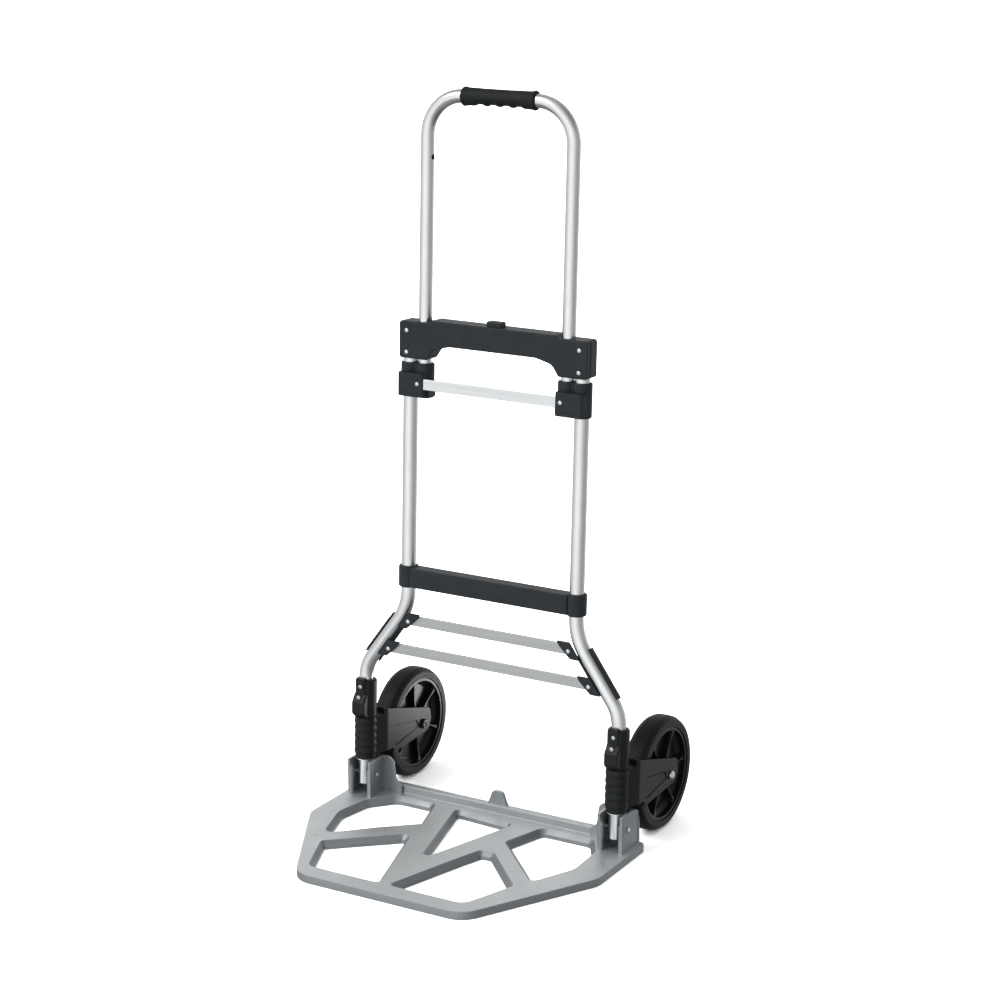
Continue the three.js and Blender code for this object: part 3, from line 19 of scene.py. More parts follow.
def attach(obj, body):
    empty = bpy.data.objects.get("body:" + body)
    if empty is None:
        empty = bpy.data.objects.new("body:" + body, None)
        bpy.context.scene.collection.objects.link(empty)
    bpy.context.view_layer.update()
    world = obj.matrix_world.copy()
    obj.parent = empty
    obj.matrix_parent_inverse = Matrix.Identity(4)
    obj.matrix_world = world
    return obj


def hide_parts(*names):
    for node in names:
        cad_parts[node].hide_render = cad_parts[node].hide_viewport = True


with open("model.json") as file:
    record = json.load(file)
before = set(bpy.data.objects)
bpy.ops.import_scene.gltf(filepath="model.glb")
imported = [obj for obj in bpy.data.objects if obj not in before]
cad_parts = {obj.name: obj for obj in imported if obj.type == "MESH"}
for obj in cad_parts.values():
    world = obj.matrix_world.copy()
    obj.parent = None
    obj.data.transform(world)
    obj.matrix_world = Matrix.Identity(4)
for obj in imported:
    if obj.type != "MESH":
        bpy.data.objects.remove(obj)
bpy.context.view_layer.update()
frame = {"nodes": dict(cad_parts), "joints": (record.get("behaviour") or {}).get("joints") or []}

# %% [markdown]
# ## Two spaces to draw in
#
# The tubes lean back a little, so most pieces are easiest to draw in a space whose Z runs along the
# tubes. The toe plate lies flat, so it is drawn in a level space. Both spaces count in millimetres and
# have their origin on the floor below the tubes, which the swivel joint of a fork gives us. One matrix
# for each space carries a finished mesh to its place in metres.

# %% The spaces, and where each solid lies in them
JOINTS = {joint["name"]: joint for joint in frame["joints"]}
SWIVEL = JOINTS["fork_right_swivel"]
UP = Vector(SWIVEL["axis"]).normalized()
ACROSS = Vector((1, 0, 0))
BACK = UP.cross(ACROSS)
FOOT = Matrix.Translation((0, SWIVEL["pos_m"][1], 0))
LEAN = Matrix((ACROSS, BACK, UP)).transposed().to_4x4()
MM = Matrix.Scale(0.001, 4)
TUBE_SPACE = FOOT @ LEAN @ MM
LEVEL_SPACE = FOOT @ MM
SIDES = {"left": -1, "right": 1}


def extent(node, space=TUBE_SPACE):
    """Lowest and highest corner of a solid, in millimetres of that space."""
    inverse = space.inverted()
    corners = [inverse @ vertex.co for vertex in frame["nodes"][node].data.vertices]
    low = Vector([min(corner[i] for corner in corners) for i in range(3)])
    high = Vector([max(corner[i] for corner in corners) for i in range(3)])
    return low, high


print("lean:", round(math.degrees(math.asin(UP.y)), 2), "degrees")

# %% [markdown]
# ## Drawing helpers
#
# A moulded or cast piece is an outline given thickness, and a turned piece is a profile carried round an
# axis. Real corners are never perfectly sharp, so `rounded` puts an arc on every corner that has a
# radius. Where an outline changes on its way, `skinned` lays a skin over all its stages. These helpers
# only make meshes: finish and place come later.

# %% Outlines
def rounded(corners, steps=6):
    """A closed loop through (x, y, radius) corners, with an arc at each corner that has a radius."""
    points = [Vector(corner[:2]) for corner in corners]
    radii = [corner[2] if len(corner) > 2 else 0 for corner in corners]
    loop = []
    for i, (corner, radius) in enumerate(zip(points, radii)):
        if radius == 0:
            loop.append(corner)
            continue
        before = (points[i - 1] - corner).normalized()
        after = (points[(i + 1) % len(points)] - corner).normalized()
        half = before.angle(after) / 2
        centre = corner + (before + after).normalized() * radius / math.sin(half)
        arm = corner + before * radius / math.tan(half) - centre
        turn = math.pi - 2 * half
        if after.x * before.y - after.y * before.x < 0:
            turn = -turn
        for k in range(steps + 1):
            loop.append(centre + Matrix.Rotation(turn * k / steps, 2) @ arm)
    return loop


def arc(centre, radius, start, end, steps):
    """Points on a circle from one angle to another, in degrees."""
    angles = [math.radians(start + (end - start) * k / steps) for k in range(steps + 1)]
    return [Vector((centre[0] + radius * math.cos(a), centre[1] + radius * math.sin(a))) for a in angles]


def mirrored(points):
    """The points, and the same points mirrored in X, as one closed loop."""
    return list(points) + [(-p[0], *p[1:]) for p in reversed(points)]


# %% Meshes from outlines
PLANES = {
    "xz": lambda a, b, depth: (a, depth, b),
    "xy": lambda a, b, depth: (a, b, depth),
    "yz": lambda a, b, depth: (depth, a, b),
}


def mesh_piece(name, points, faces):
    """An object from points and faces, with doubles merged and faces pointing out."""
    mesh = bpy.data.meshes.new(name)
    mesh.from_pydata([tuple(point) for point in points], [], faces)
    shape = bmesh.new()
    shape.from_mesh(mesh)
    bmesh.ops.remove_doubles(shape, verts=shape.verts, dist=1e-4)
    bmesh.ops.recalc_face_normals(shape, faces=shape.faces)
    shape.to_mesh(mesh)
    shape.free()
    piece = bpy.data.objects.new(name, mesh)
    bpy.context.scene.collection.objects.link(piece)
    return piece


def skinned(name, loops, closed=False):
    """A skin over loops of equal length, capped at both ends or closed into a ring."""
    count = len(loops[0])
    points = [point for loop in loops for point in loop]
    faces = [] if closed else [list(range(count)), list(range(len(points) - count, len(points)))]
    for row in range(len(loops) if closed else len(loops) - 1):
        here = row * count
        there = (row + 1) % len(loops) * count
        for i in range(count):
            j = (i + 1) % count
            faces.append([here + i, here + j, there + j, there + i])
    return mesh_piece(name, points, faces)


def prism(name, loop, span, plane="xz"):
    """A loop on one plane, given thickness across that plane."""
    place = PLANES[plane]
    return skinned(name, [[place(p[0], p[1], level) for p in loop] for level in span])


def box(name, x, y, z):
    """A box between three pairs of levels."""
    loop = [(x[0], y[0]), (x[1], y[0]), (x[1], y[1]), (x[0], y[1])]
    return prism(name, loop, z, "xy")


TURNS = {
    "x": lambda along, a, b: (along, a, b),
    "y": lambda along, a, b: (a, along, b),
    "z": lambda along, a, b: (a, b, along),
}


def turned(name, profile, axis="z", centre=(0, 0, 0), sides=64):
    """A closed profile of (radius, distance along the axis), carried round that axis."""
    place = TURNS[axis]
    count = len(profile)
    points = []
    for k in range(sides):
        angle = 2 * math.pi * k / sides
        for radius, along in profile:
            point = place(along, radius * math.cos(angle), radius * math.sin(angle))
            points.append(Vector(point) + Vector(centre))
    faces = []
    for k in range(sides):
        here = k * count
        there = ((k + 1) % sides) * count
        for i in range(count):
            j = (i + 1) % count
            if profile[i][0] == 0 and profile[j][0] == 0:
                continue
            faces.append([here + i, here + j, there + j, there + i])
    return mesh_piece(name, points, faces)


def rod(name, axis, radius, span, centre=(0, 0, 0), sides=48):
    """A plain round bar."""
    low, high = span
    profile = [(0, low), (radius, low), (radius, high), (0, high)]
    return turned(name, profile, axis, centre, sides)


# %% [markdown]
# ## Modifiers, baked at once
#
# Bevels catch the light along edges, and booleans cut bores and windows. Both are modifiers here, and
# `bake` replaces the mesh by what they give, so that the object ends as one plain mesh. A bevel before
# a cut rounds the outside and leaves the bore's rim crisp, as a mould does.

# %% Bevel, cut, join and bake
def bake(piece):
    """Replace the mesh by the result of its modifiers."""
    bpy.context.view_layer.update()
    depsgraph = bpy.context.evaluated_depsgraph_get()
    result = bpy.data.meshes.new_from_object(piece.evaluated_get(depsgraph))
    old = piece.data
    piece.modifiers.clear()
    piece.data = result
    bpy.data.meshes.remove(old)
    return piece


def bevel(piece, width, segments=3, angle=30):
    """Round every edge that is sharper than the angle."""
    modifier = piece.modifiers.new("Bevel", "BEVEL")
    modifier.width = width
    modifier.segments = segments
    modifier.limit_method = "ANGLE"
    modifier.angle_limit = math.radians(angle)
    modifier.miter_outer = "MITER_ARC"
    return bake(piece)


def combine(piece, tools, operation="DIFFERENCE"):
    """Cut the tools out of a piece, or join or intersect them with it, and discard the tools."""
    for tool in tools:
        modifier = piece.modifiers.new("Boolean", "BOOLEAN")
        modifier.operation = operation
        modifier.solver = "EXACT"
        modifier.object = tool
    bake(piece)
    for tool in tools:
        bpy.data.objects.remove(tool)
    return piece


def gather(name, pieces):
    """Several closed meshes as one object, each keeping its own skin."""
    shape = bmesh.new()
    for piece in pieces:
        shape.from_mesh(piece.data)
    mesh = bpy.data.meshes.new(name)
    shape.to_mesh(mesh)
    shape.free()
    for piece in pieces:
        bpy.data.objects.remove(piece)
    whole = bpy.data.objects.new(name, mesh)
    bpy.context.scene.collection.objects.link(whole)
    return whole


def moved(piece, matrix):
    """The piece with a matrix applied to its mesh."""
    piece.data.transform(matrix)
    if matrix.determinant() < 0:
        piece.data.flip_normals()
    return piece


def copied(piece, name, matrix):
    """A copy of the piece with a matrix applied to its mesh."""
    copy = bpy.data.objects.new(name, piece.data.copy())
    bpy.context.scene.collection.objects.link(copy)
    return moved(copy, matrix)


MIRROR = Matrix.Scale(-1, 4, (1, 0, 0))

# %% [markdown]
# ## Finishes
#
# Each finish is one Principled shader with procedural detail from Object coordinates, so it stays fixed
# to the piece and has the same scale on each. Drawn aluminium has fine lines along the tube, the casting
# has a blasted grain, and the black mouldings have a faint texture from the mould. Two finishes also ask
# which way a surface faces: painted shade darkens the casting's upright walls, and the tyre's sidewalls
# are paler than its tread, partly with painted light.

# %% Shader helpers
def srgb(red, green, blue):
    """A colour given as it looks on a screen, from 0 to 255, in the linear values of a shader."""
    values = [channel / 255 for channel in (red, green, blue)]
    linear = [v / 12.92 if v <= 0.04045 else ((v + 0.055) / 1.055) ** 2.4 for v in values]
    return (*linear, 1.0)


def finish(name, colour, roughness, metallic=0.0, specular=0.5):
    """A material with one Principled shader, and that shader."""
    material = bpy.data.materials.new(name)
    material.use_nodes = True
    shader = material.node_tree.nodes["Principled BSDF"]
    shader.inputs["Base Color"].default_value = colour
    shader.inputs["Roughness"].default_value = roughness
    shader.inputs["Metallic"].default_value = metallic
    shader.inputs["Specular IOR Level"].default_value = specular
    material.diffuse_color = colour
    return material, shader


def grain(material, scale, stretch=(1, 1, 1), detail=3.0):
    """Noise on the piece's own coordinates, in cycles per metre; a stretch below 1 draws it out."""
    nodes, links = material.node_tree.nodes, material.node_tree.links
    place = nodes.new("ShaderNodeTexCoord")
    mapping = nodes.new("ShaderNodeMapping")
    texture = nodes.new("ShaderNodeTexNoise")
    mapping.inputs["Scale"].default_value = stretch
    texture.inputs["Scale"].default_value = scale
    texture.inputs["Detail"].default_value = detail
    links.new(place.outputs["Object"], mapping.inputs["Vector"])
    links.new(mapping.outputs["Vector"], texture.inputs["Vector"])
    return texture.outputs["Fac"]


def remap(material, value, low, high, spread=(0.3, 0.7)):
    """A noise value stretched to run from low to high."""
    node = material.node_tree.nodes.new("ShaderNodeMapRange")
    node.inputs["From Min"].default_value = spread[0]
    node.inputs["From Max"].default_value = spread[1]
    node.inputs["To Min"].default_value = low
    node.inputs["To Max"].default_value = high
    material.node_tree.links.new(value, node.inputs["Value"])
    return node.outputs["Result"]


def tint(material, shader, value, dark, light, spread=(0.3, 0.7)):
    """Colour that drifts between two tones with a noise value."""
    ramp = material.node_tree.nodes.new("ShaderNodeValToRGB")
    ramp.color_ramp.elements[0].position = spread[0]
    ramp.color_ramp.elements[0].color = dark
    ramp.color_ramp.elements[1].position = spread[1]
    ramp.color_ramp.elements[1].color = light
    material.node_tree.links.new(value, ramp.inputs["Fac"])
    material.node_tree.links.new(ramp.outputs["Color"], shader.inputs["Base Color"])


def glossed(material, shader, value, low, high):
    """Roughness that drifts between two levels with a noise value."""
    material.node_tree.links.new(remap(material, value, low, high), shader.inputs["Roughness"])


def emboss(material, shader, layers):
    """Bumps laid on each other: each layer is a noise value and its height in metres."""
    nodes, links = material.node_tree.nodes, material.node_tree.links
    normal = None
    for value, height in layers:
        bump = nodes.new("ShaderNodeBump")
        bump.inputs["Distance"].default_value = height
        links.new(value, bump.inputs["Height"])
        if normal is not None:
            links.new(normal, bump.inputs["Normal"])
        normal = bump.outputs["Normal"]
    links.new(normal, shader.inputs["Normal"])


# %% Aluminium, drawn and cast
def drawn_aluminium(name, stretch, tones, roughness):
    """Fine lines along the drawing direction, over a slow drift in brightness."""
    material, shader = finish(name, tones[1], roughness, metallic=1.0)
    lines = grain(material, 900, stretch, detail=2.0)
    cloud = grain(material, 14, (1, 1, 0.4))
    tint(material, shader, lines, tones[0], tones[1])
    glossed(material, shader, cloud, roughness - 0.05, roughness + 0.06)
    emboss(material, shader, [(lines, 0.00002)])
    return material


UPRIGHT, LEVEL = (1, 1, 0.006), (0.006, 1, 1)  # how the noise is drawn out into lines
TUBE_METAL = drawn_aluminium("drawn_tube", UPRIGHT, (srgb(198, 200, 201), srgb(210, 212, 213)), 0.28)
BAR_METAL = drawn_aluminium("drawn_bar", LEVEL, (srgb(198, 202, 203), srgb(210, 213, 214)), 0.42)
STRUT_METAL = drawn_aluminium("drawn_strut", LEVEL, (srgb(162, 164, 165), srgb(173, 175, 176)), 0.48)
print("drawn metals:", TUBE_METAL.name, BAR_METAL.name, STRUT_METAL.name)


# %% Tones by the way a surface faces
def facing_share(material, axis, low, high):
    """0 where a piece faces across the axis and 1 where it faces along it, from the cosine low to high."""
    nodes, links = material.node_tree.nodes, material.node_tree.links
    place = nodes.new("ShaderNodeTexCoord")
    split = nodes.new("ShaderNodeSeparateXYZ")
    level = nodes.new("ShaderNodeMath")
    level.operation = "ABSOLUTE"
    links.new(place.outputs["Normal"], split.inputs["Vector"])
    links.new(split.outputs[axis], level.inputs[0])
    return remap(material, level.outputs["Value"], 0, 1, (low, high))


def toned_by(material, shader, share, where_0, where_1):
    """The shader's colour multiplied by one tone where the share is 0 and by the other where it is 1."""
    nodes, links = material.node_tree.nodes, material.node_tree.links
    tone = nodes.new("ShaderNodeMix")
    tone.data_type = "RGBA"
    tone.inputs["A"].default_value = where_0
    tone.inputs["B"].default_value = where_1
    product = nodes.new("ShaderNodeMix")
    product.data_type = "RGBA"
    product.blend_type = "MULTIPLY"
    product.inputs["Factor"].default_value = 1
    links.new(share, tone.inputs["Factor"])
    links.new(shader.inputs["Base Color"].links[0].from_socket, product.inputs["A"])
    links.new(tone.outputs["Result"], product.inputs["B"])
    links.new(product.outputs["Result"], shader.inputs["Base Color"])


def cast_aluminium():
    """A blasted casting: a fine grain, soft clouds, and upright walls darkened with painted shade."""
    material, shader = finish("blasted_casting", srgb(190, 193, 195), 0.5, metallic=0.85)
    speckle = grain(material, 1400, detail=4.0)
    cloud = grain(material, 22, detail=2.0)
    tint(material, shader, speckle, srgb(192, 195, 197), srgb(236, 239, 240), (0.25, 0.75))
    # painted shade: faces that stand upright are multiplied by a darker grey than level faces
    level = facing_share(material, "Z", 0.72, 0.97)
    toned_by(material, shader, level, srgb(176, 179, 181), srgb(255, 255, 255))
    glossed(material, shader, cloud, 0.46, 0.6)
    emboss(material, shader, [(cloud, 0.0004), (speckle, 0.0001)])
    return material


CASTING = cast_aluminium()
print("cast metal:", CASTING.name)


# %% Plastics and rubber
def moulded(name, dark, light, roughness, texture=700, height=0.00006):
    """A moulding with the spark texture of its mould and slightly uneven gloss."""
    material, shader = finish(name, light, roughness, specular=0.22)
    pebble = grain(material, texture, detail=3.0)
    cloud = grain(material, 30, detail=2.0)
    tint(material, shader, cloud, dark, light)
    glossed(material, shader, pebble, roughness - 0.08, roughness + 0.1)
    emboss(material, shader, [(pebble, height)])
    return material


def tyre_rubber():
    """Black rubber, darker on the tread and paler on the sidewalls; the paler sidewalls are partly painted
    light.
    """
    material = moulded("tyre_rubber", srgb(34, 37, 40), srgb(44, 47, 50), 0.55, 900, 0.00008)
    shader = material.node_tree.nodes["Principled BSDF"]
    # the tread is multiplied darker than the sidewalls: partly the rubber's own tone, partly painted light on
    # the sidewalls
    sidewall = facing_share(material, "X", 0.5, 0.85)
    toned_by(material, shader, sidewall, srgb(110, 118, 126), srgb(255, 255, 255))
    return material


BLACK_MOULDING = moulded("black_moulding", srgb(37, 42, 46), srgb(45, 50, 54), 0.48)
FORK_MOULDING = moulded("fork_moulding", srgb(15, 19, 22), srgb(22, 26, 29), 0.45)
RIM_MOULDING = moulded("rim_moulding", srgb(20, 23, 26), srgb(28, 31, 34), 0.36)
GRIP_RUBBER = moulded("grip_rubber", srgb(20, 24, 27), srgb(29, 33, 36), 0.6, 1100, 0.0001)
TYRE_RUBBER = tyre_rubber()
print("tyre:", TYRE_RUBBER.name)


# %% Fastener steel
def plated_steel(name, tone, roughness):
    """Zinc plate with a faint turning mark."""
    material, shader = finish(name, tone, roughness, metallic=1.0)
    scratch = grain(material, 1600, (1, 0.05, 1))
    glossed(material, shader, scratch, roughness - 0.06, roughness + 0.08)
    emboss(material, shader, [(scratch, 0.00001)])
    return material


ZINC = plated_steel("zinc_plate", srgb(206, 208, 210), 0.26)
HEAD_METAL = plated_steel("dull_head", srgb(192, 195, 198), 0.38)
print("finishes:", len(bpy.data.materials))


# %% [markdown]
# ## Settling a piece
#
# A finished piece gets smooth shading up to its real edges, its material, its place in metres and the body it
# moves with, and the plain solids that it stands for are hidden. Weighted normals let a large flat face stay
# flat beside its narrow rounded edges.

# %% Settle
def settle(piece, space, material, body, slot, *nodes, crease=35):
    """Finish a drawn piece and hand it to the frame."""
    piece.data.transform(space)
    piece.data.shade_smooth()
    piece.data.set_sharp_from_angle(angle=math.radians(crease))
    weighted = piece.modifiers.new("Weighted", "WEIGHTED_NORMAL")
    weighted.keep_sharp = True
    bake(piece)
    piece.data.materials.clear()
    piece.data.materials.append(material)
    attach(piece, body)
    if nodes:
        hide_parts(*nodes)
    print(f"{piece.name}: {len(piece.data.polygons)} faces, on {body}")
    return piece


def settle_pair(right, name, material, body, slot, node):
    """Settle a right-hand piece and its mirror image on the left."""
    left = copied(right, f"{name}_left", MIRROR)
    settle(right, TUBE_SPACE, material, body, slot, f"{node}_right")
    settle(left, TUBE_SPACE, material, body, slot, f"{node}_left")


# %% [markdown]
# ## Three node trees
#
# The rest of the truck repeats a few things: tubes that follow a bent path, rows or rings of equal ribs,
# and fasteners set at chosen places. Geometry Nodes make all three, each from one tree with named
# inputs, so a change of one number changes every copy. Each tree ends in Realize Instances and Set
# Material, and its result is baked to a plain mesh.

# %% Tree helpers
def new_tree(name, sockets):
    """An empty tree with a geometry output and the named inputs."""
    tree = bpy.data.node_groups.new(name, "GeometryNodeTree")
    tree.interface.new_socket(name="Geometry", in_out="INPUT", socket_type="NodeSocketGeometry")
    for label, kind in sockets.items():
        tree.interface.new_socket(name=label, in_out="INPUT", socket_type="NodeSocket" + kind)
    tree.interface.new_socket(name="Geometry", in_out="OUTPUT", socket_type="NodeSocketGeometry")
    return tree, tree.nodes.new("NodeGroupInput"), tree.nodes.new("NodeGroupOutput")


def end_tree(tree, start, geometry, end):
    """Real geometry with its material, as the tree's output."""
    realize = tree.nodes.new("GeometryNodeRealizeInstances")
    paint = tree.nodes.new("GeometryNodeSetMaterial")
    tree.links.new(geometry, realize.inputs["Geometry"])
    tree.links.new(realize.outputs["Geometry"], paint.inputs["Geometry"])
    tree.links.new(start.outputs["Material"], paint.inputs["Material"])
    tree.links.new(paint.outputs["Geometry"], end.inputs["Geometry"])
    return tree


def grow(target, tree, **values):
    """Run a tree on an object with the given inputs, named with _ for a space, and bake the result."""
    modifier = target.modifiers.new(tree.name, "NODES")
    modifier.node_group = tree
    for item in tree.interface.items_tree:
        key = item.name.lower().replace(" ", "_")
        if item.in_out == "INPUT" and key in values:
            modifier[item.identifier] = values[key]
    return bake(target)


# %% A tube along a bent path
def tube_tree():
    """Corners with a bend radius each, filleted, and a circle carried along them."""
    tree, start, end = new_tree("bent_tube", {
        "Radius": "Float", "Sides": "Int", "Bend Steps": "Int", "Material": "Material",
    })
    nodes, links = tree.nodes, tree.links
    path = nodes.new("GeometryNodeMeshToCurve")
    bend = nodes.new("GeometryNodeInputNamedAttribute")
    bend.data_type = "FLOAT"
    bend.inputs["Name"].default_value = "bend"
    fillet = nodes.new("GeometryNodeFilletCurve")
    fillet.mode = "POLY"
    circle = nodes.new("GeometryNodeCurvePrimitiveCircle")
    sweep = nodes.new("GeometryNodeCurveToMesh")
    links.new(start.outputs["Geometry"], path.inputs["Mesh"])
    links.new(path.outputs["Curve"], fillet.inputs["Curve"])
    links.new(bend.outputs["Attribute"], fillet.inputs["Radius"])
    links.new(start.outputs["Bend Steps"], fillet.inputs["Count"])
    links.new(start.outputs["Radius"], circle.inputs["Radius"])
    links.new(start.outputs["Sides"], circle.inputs["Resolution"])
    links.new(fillet.outputs["Curve"], sweep.inputs["Curve"])
    links.new(circle.outputs["Curve"], sweep.inputs["Profile Curve"])
    return end_tree(tree, start, sweep.outputs["Mesh"], end)


TUBE_TREE = tube_tree()


def bent_tube(name, corners, radius, wall, steps=14):
    """A hollow tube through (x, z, bend radius) corners."""
    mesh = bpy.data.meshes.new(name)
    points = [(corner[0], 0, corner[1]) for corner in corners]
    mesh.from_pydata(points, [(i, i + 1) for i in range(len(points) - 1)], [])
    mesh.attributes.new("bend", "FLOAT", "POINT").data.foreach_set("value", [c[2] for c in corners])
    tube = bpy.data.objects.new(name, mesh)
    bpy.context.scene.collection.objects.link(tube)
    grow(tube, TUBE_TREE, radius=radius, sides=64, bend_steps=steps, material=TUBE_METAL)
    shape = bmesh.new()
    shape.from_mesh(tube.data)
    bmesh.ops.recalc_face_normals(shape, faces=shape.faces)
    middle = shape.faces[len(shape.faces) // 2]
    outwards = middle.normal.y * middle.calc_center_median().y
    if outwards < 0:
        bmesh.ops.reverse_faces(shape, faces=shape.faces)
    shape.to_mesh(tube.data)
    shape.free()
    thicken = tube.modifiers.new("Solidify", "SOLIDIFY")
    thicken.thickness = wall
    thicken.offset = -1
    thicken.use_even_offset = True
    return bake(tube)


# %% Equal copies in a row or a ring
def copies_tree():
    """Count copies of an object, each moved by Step and turned by Turn from the one before."""
    tree, start, end = new_tree("equal_copies", {
        "Piece": "Object", "Count": "Int", "Step": "Vector", "Turn": "Vector", "Material": "Material",
    })
    nodes, links = tree.nodes, tree.links
    line = nodes.new("GeometryNodeMeshLine")
    index = nodes.new("GeometryNodeInputIndex")
    turn = nodes.new("ShaderNodeVectorMath")
    turn.operation = "SCALE"
    source = nodes.new("GeometryNodeObjectInfo")
    place = nodes.new("GeometryNodeInstanceOnPoints")
    links.new(start.outputs["Count"], line.inputs["Count"])
    links.new(start.outputs["Step"], line.inputs["Offset"])
    links.new(start.outputs["Turn"], turn.inputs[0])
    links.new(index.outputs["Index"], turn.inputs["Scale"])
    links.new(start.outputs["Piece"], source.inputs["Object"])
    links.new(line.outputs["Mesh"], place.inputs["Points"])
    links.new(source.outputs["Geometry"], place.inputs["Instance"])
    links.new(turn.outputs["Vector"], place.inputs["Rotation"])
    return end_tree(tree, start, place.outputs["Instances"], end)


COPIES_TREE = copies_tree()


def repeated(name, piece, count, material, step=(0, 0, 0), turn=(0, 0, 0)):
    """Equal copies of a piece as one object; the piece itself is used up."""
    row = mesh_piece(name, [], [])
    grow(row, COPIES_TREE, piece=piece, count=count, step=step, turn=turn, material=material)
    bpy.data.objects.remove(piece)
    return row


# %% Fasteners at chosen places
def fastener_tree():
    """One fastener at each point, its head facing along the point's own direction."""
    tree, start, end = new_tree("fasteners", {"Piece": "Object", "Material": "Material"})
    nodes, links = tree.nodes, tree.links
    facing = nodes.new("GeometryNodeInputNamedAttribute")
    facing.data_type = "FLOAT_VECTOR"
    facing.inputs["Name"].default_value = "facing"
    align = nodes.new("FunctionNodeAlignRotationToVector")
    align.axis = "Z"
    source = nodes.new("GeometryNodeObjectInfo")
    place = nodes.new("GeometryNodeInstanceOnPoints")
    links.new(facing.outputs["Attribute"], align.inputs["Vector"])
    links.new(start.outputs["Piece"], source.inputs["Object"])
    links.new(start.outputs["Geometry"], place.inputs["Points"])
    links.new(source.outputs["Geometry"], place.inputs["Instance"])
    links.new(align.outputs["Rotation"], place.inputs["Rotation"])
    return end_tree(tree, start, place.outputs["Instances"], end)


FASTENER_TREE = fastener_tree()


def fastened(name, head, places, material):
    """The head at each (point, direction), as one object."""
    mesh = bpy.data.meshes.new(name)
    mesh.from_pydata([tuple(point) for point, _ in places], [], [])
    directions = [value for _, direction in places for value in direction]
    mesh.attributes.new("facing", "FLOAT_VECTOR", "POINT").data.foreach_set("vector", directions)
    piece = bpy.data.objects.new(name, mesh)
    bpy.context.scene.collection.objects.link(piece)
    return grow(piece, FASTENER_TREE, piece=head, material=material)


print("trees:", [tree.name for tree in bpy.data.node_groups])


# %% [markdown]
# ## The frame tubes
#
# Each lower tube stands in a wheel fork, slants inwards above it and runs straight up into the bridge.
# It could be three cylinders with elbows, but a real bent tube keeps one skin round its bends, so the
# tube tree sweeps one circle along a filleted path. The wall is thickened inwards and the visible holes
# are cut last.

# %% Lower tubes
HUB_X = SWIVEL["pos_m"][0] * 1000
PIVOT = JOINTS["toe_plate_fold"]["pos_m"]
PIVOT_HEIGHT = PIVOT[2] * 1000
PIN_HOLE = 3.3
TUBE_RADIUS = 11.0
TUBE_WALL = 1.5
LOWER_BEND = (219, 60)  # height along the tube, and radius
UPPER_BEND = (322, 90)
HIGH_X = extent("lower_tube_right")[0].x + TUBE_RADIUS
FOOT_END = extent("lower_tube_right")[0].z - 4  # the bright tube reaches down over its plug
TUBE_TOP = extent("lower_tube_right")[1].z

for name, side in SIDES.items():
    tube = bent_tube(f"frame_tube_{name}", [
        (side * HUB_X, FOOT_END, 0),
        (side * HUB_X, LOWER_BEND[0], LOWER_BEND[1]),
        (side * HIGH_X, UPPER_BEND[0], UPPER_BEND[1]),
        (side * HIGH_X, TUBE_TOP, 0),
    ], TUBE_RADIUS, TUBE_WALL)
    across = (side * HUB_X - 15, side * HUB_X + 15)
    combine(tube, [rod("pin_hole", "x", PIN_HOLE, across, (0, 0, PIVOT_HEIGHT), 24)])
    settle(tube, TUBE_SPACE, TUBE_METAL, "frame", "aluminium_tube", f"lower_tube_{name}")
print("tube spacing:", round(2 * HIGH_X, 1), "above,", round(2 * HUB_X, 1), "at the hubs")

# %% [markdown]
# Black plugs close the tube ends. They show inside the toe plate's brackets, below the bright tube.

# %% Tube plugs
PLUG_BOTTOM = FOOT_END - 1.7
FLANGE_TOP = FOOT_END - 0.2
PLUG_RADIUS = TUBE_RADIUS - TUBE_WALL - 0.2
for name, side in SIDES.items():
    top = extent(f"tube_plug_{name}")[1].z
    plug = turned(f"tube_end_{name}", rounded([
        (0, PLUG_BOTTOM), (TUBE_RADIUS, PLUG_BOTTOM, 1.2), (TUBE_RADIUS, FLANGE_TOP, 0.3),
        (PLUG_RADIUS, FLANGE_TOP), (PLUG_RADIUS, top, 0.6), (0, top),
    ], 4), "z", (side * HUB_X, 0, 0), 48)
    settle(plug, TUBE_SPACE, BLACK_MOULDING, "frame", "black_plastic", f"tube_plug_{name}")

# %% [markdown]
# ## The bridge
#
# The bridge joins the tube tops, and the handle slides through it. Its housing is one moulding with an
# arch for the fingers and a raised middle. The outline is thickened, its front edges are rounded, two
# shallow swellings mark the tubes, and then bores, button hole and lock pocket are cut.

# %% Bridge outline
HOUSING_LOW, HOUSING_HIGH = extent("bridge_housing")
BRIDGE_HALF = HOUSING_HIGH.x
BRIDGE_BOTTOM = HOUSING_LOW.z
MIDDLE_TOP = HOUSING_HIGH.z
BRIDGE_TOP = MIDDLE_TOP - 4
BRIDGE_FRONT = HOUSING_LOW.y
BRIDGE_REAR = extent("bridge_rear_cover")[1].y
ARCH_TOP = BRIDGE_BOTTOM + 23
ARCH_FLAT, ARCH_SHOULDER, ARCH_FOOT = 72, 99, 109  # half widths of the arch, downwards
RISE_FOOT, RISE_TOP = 108, 103  # half widths of the raised middle
HANDLE_RADIUS = 10.0
HANDLE_X = extent("handle_tube")[1].x - HANDLE_RADIUS


def bridge_outline(inset=0.0):
    """The bridge seen from the front, with the arch below."""
    end = BRIDGE_HALF - inset
    bottom = BRIDGE_BOTTOM + inset
    half = [
        (ARCH_FLAT, ARCH_TOP + inset, 30), (ARCH_SHOULDER, ARCH_TOP - 7 + inset, 18),
        (ARCH_FOOT + inset, bottom, 4), (end, bottom, 4.5), (end, BRIDGE_TOP - inset, 4.5),
        (RISE_FOOT, BRIDGE_TOP - inset, 6), (RISE_TOP, MIDDLE_TOP - inset, 6),
    ]
    return rounded(mirrored(half), 7)


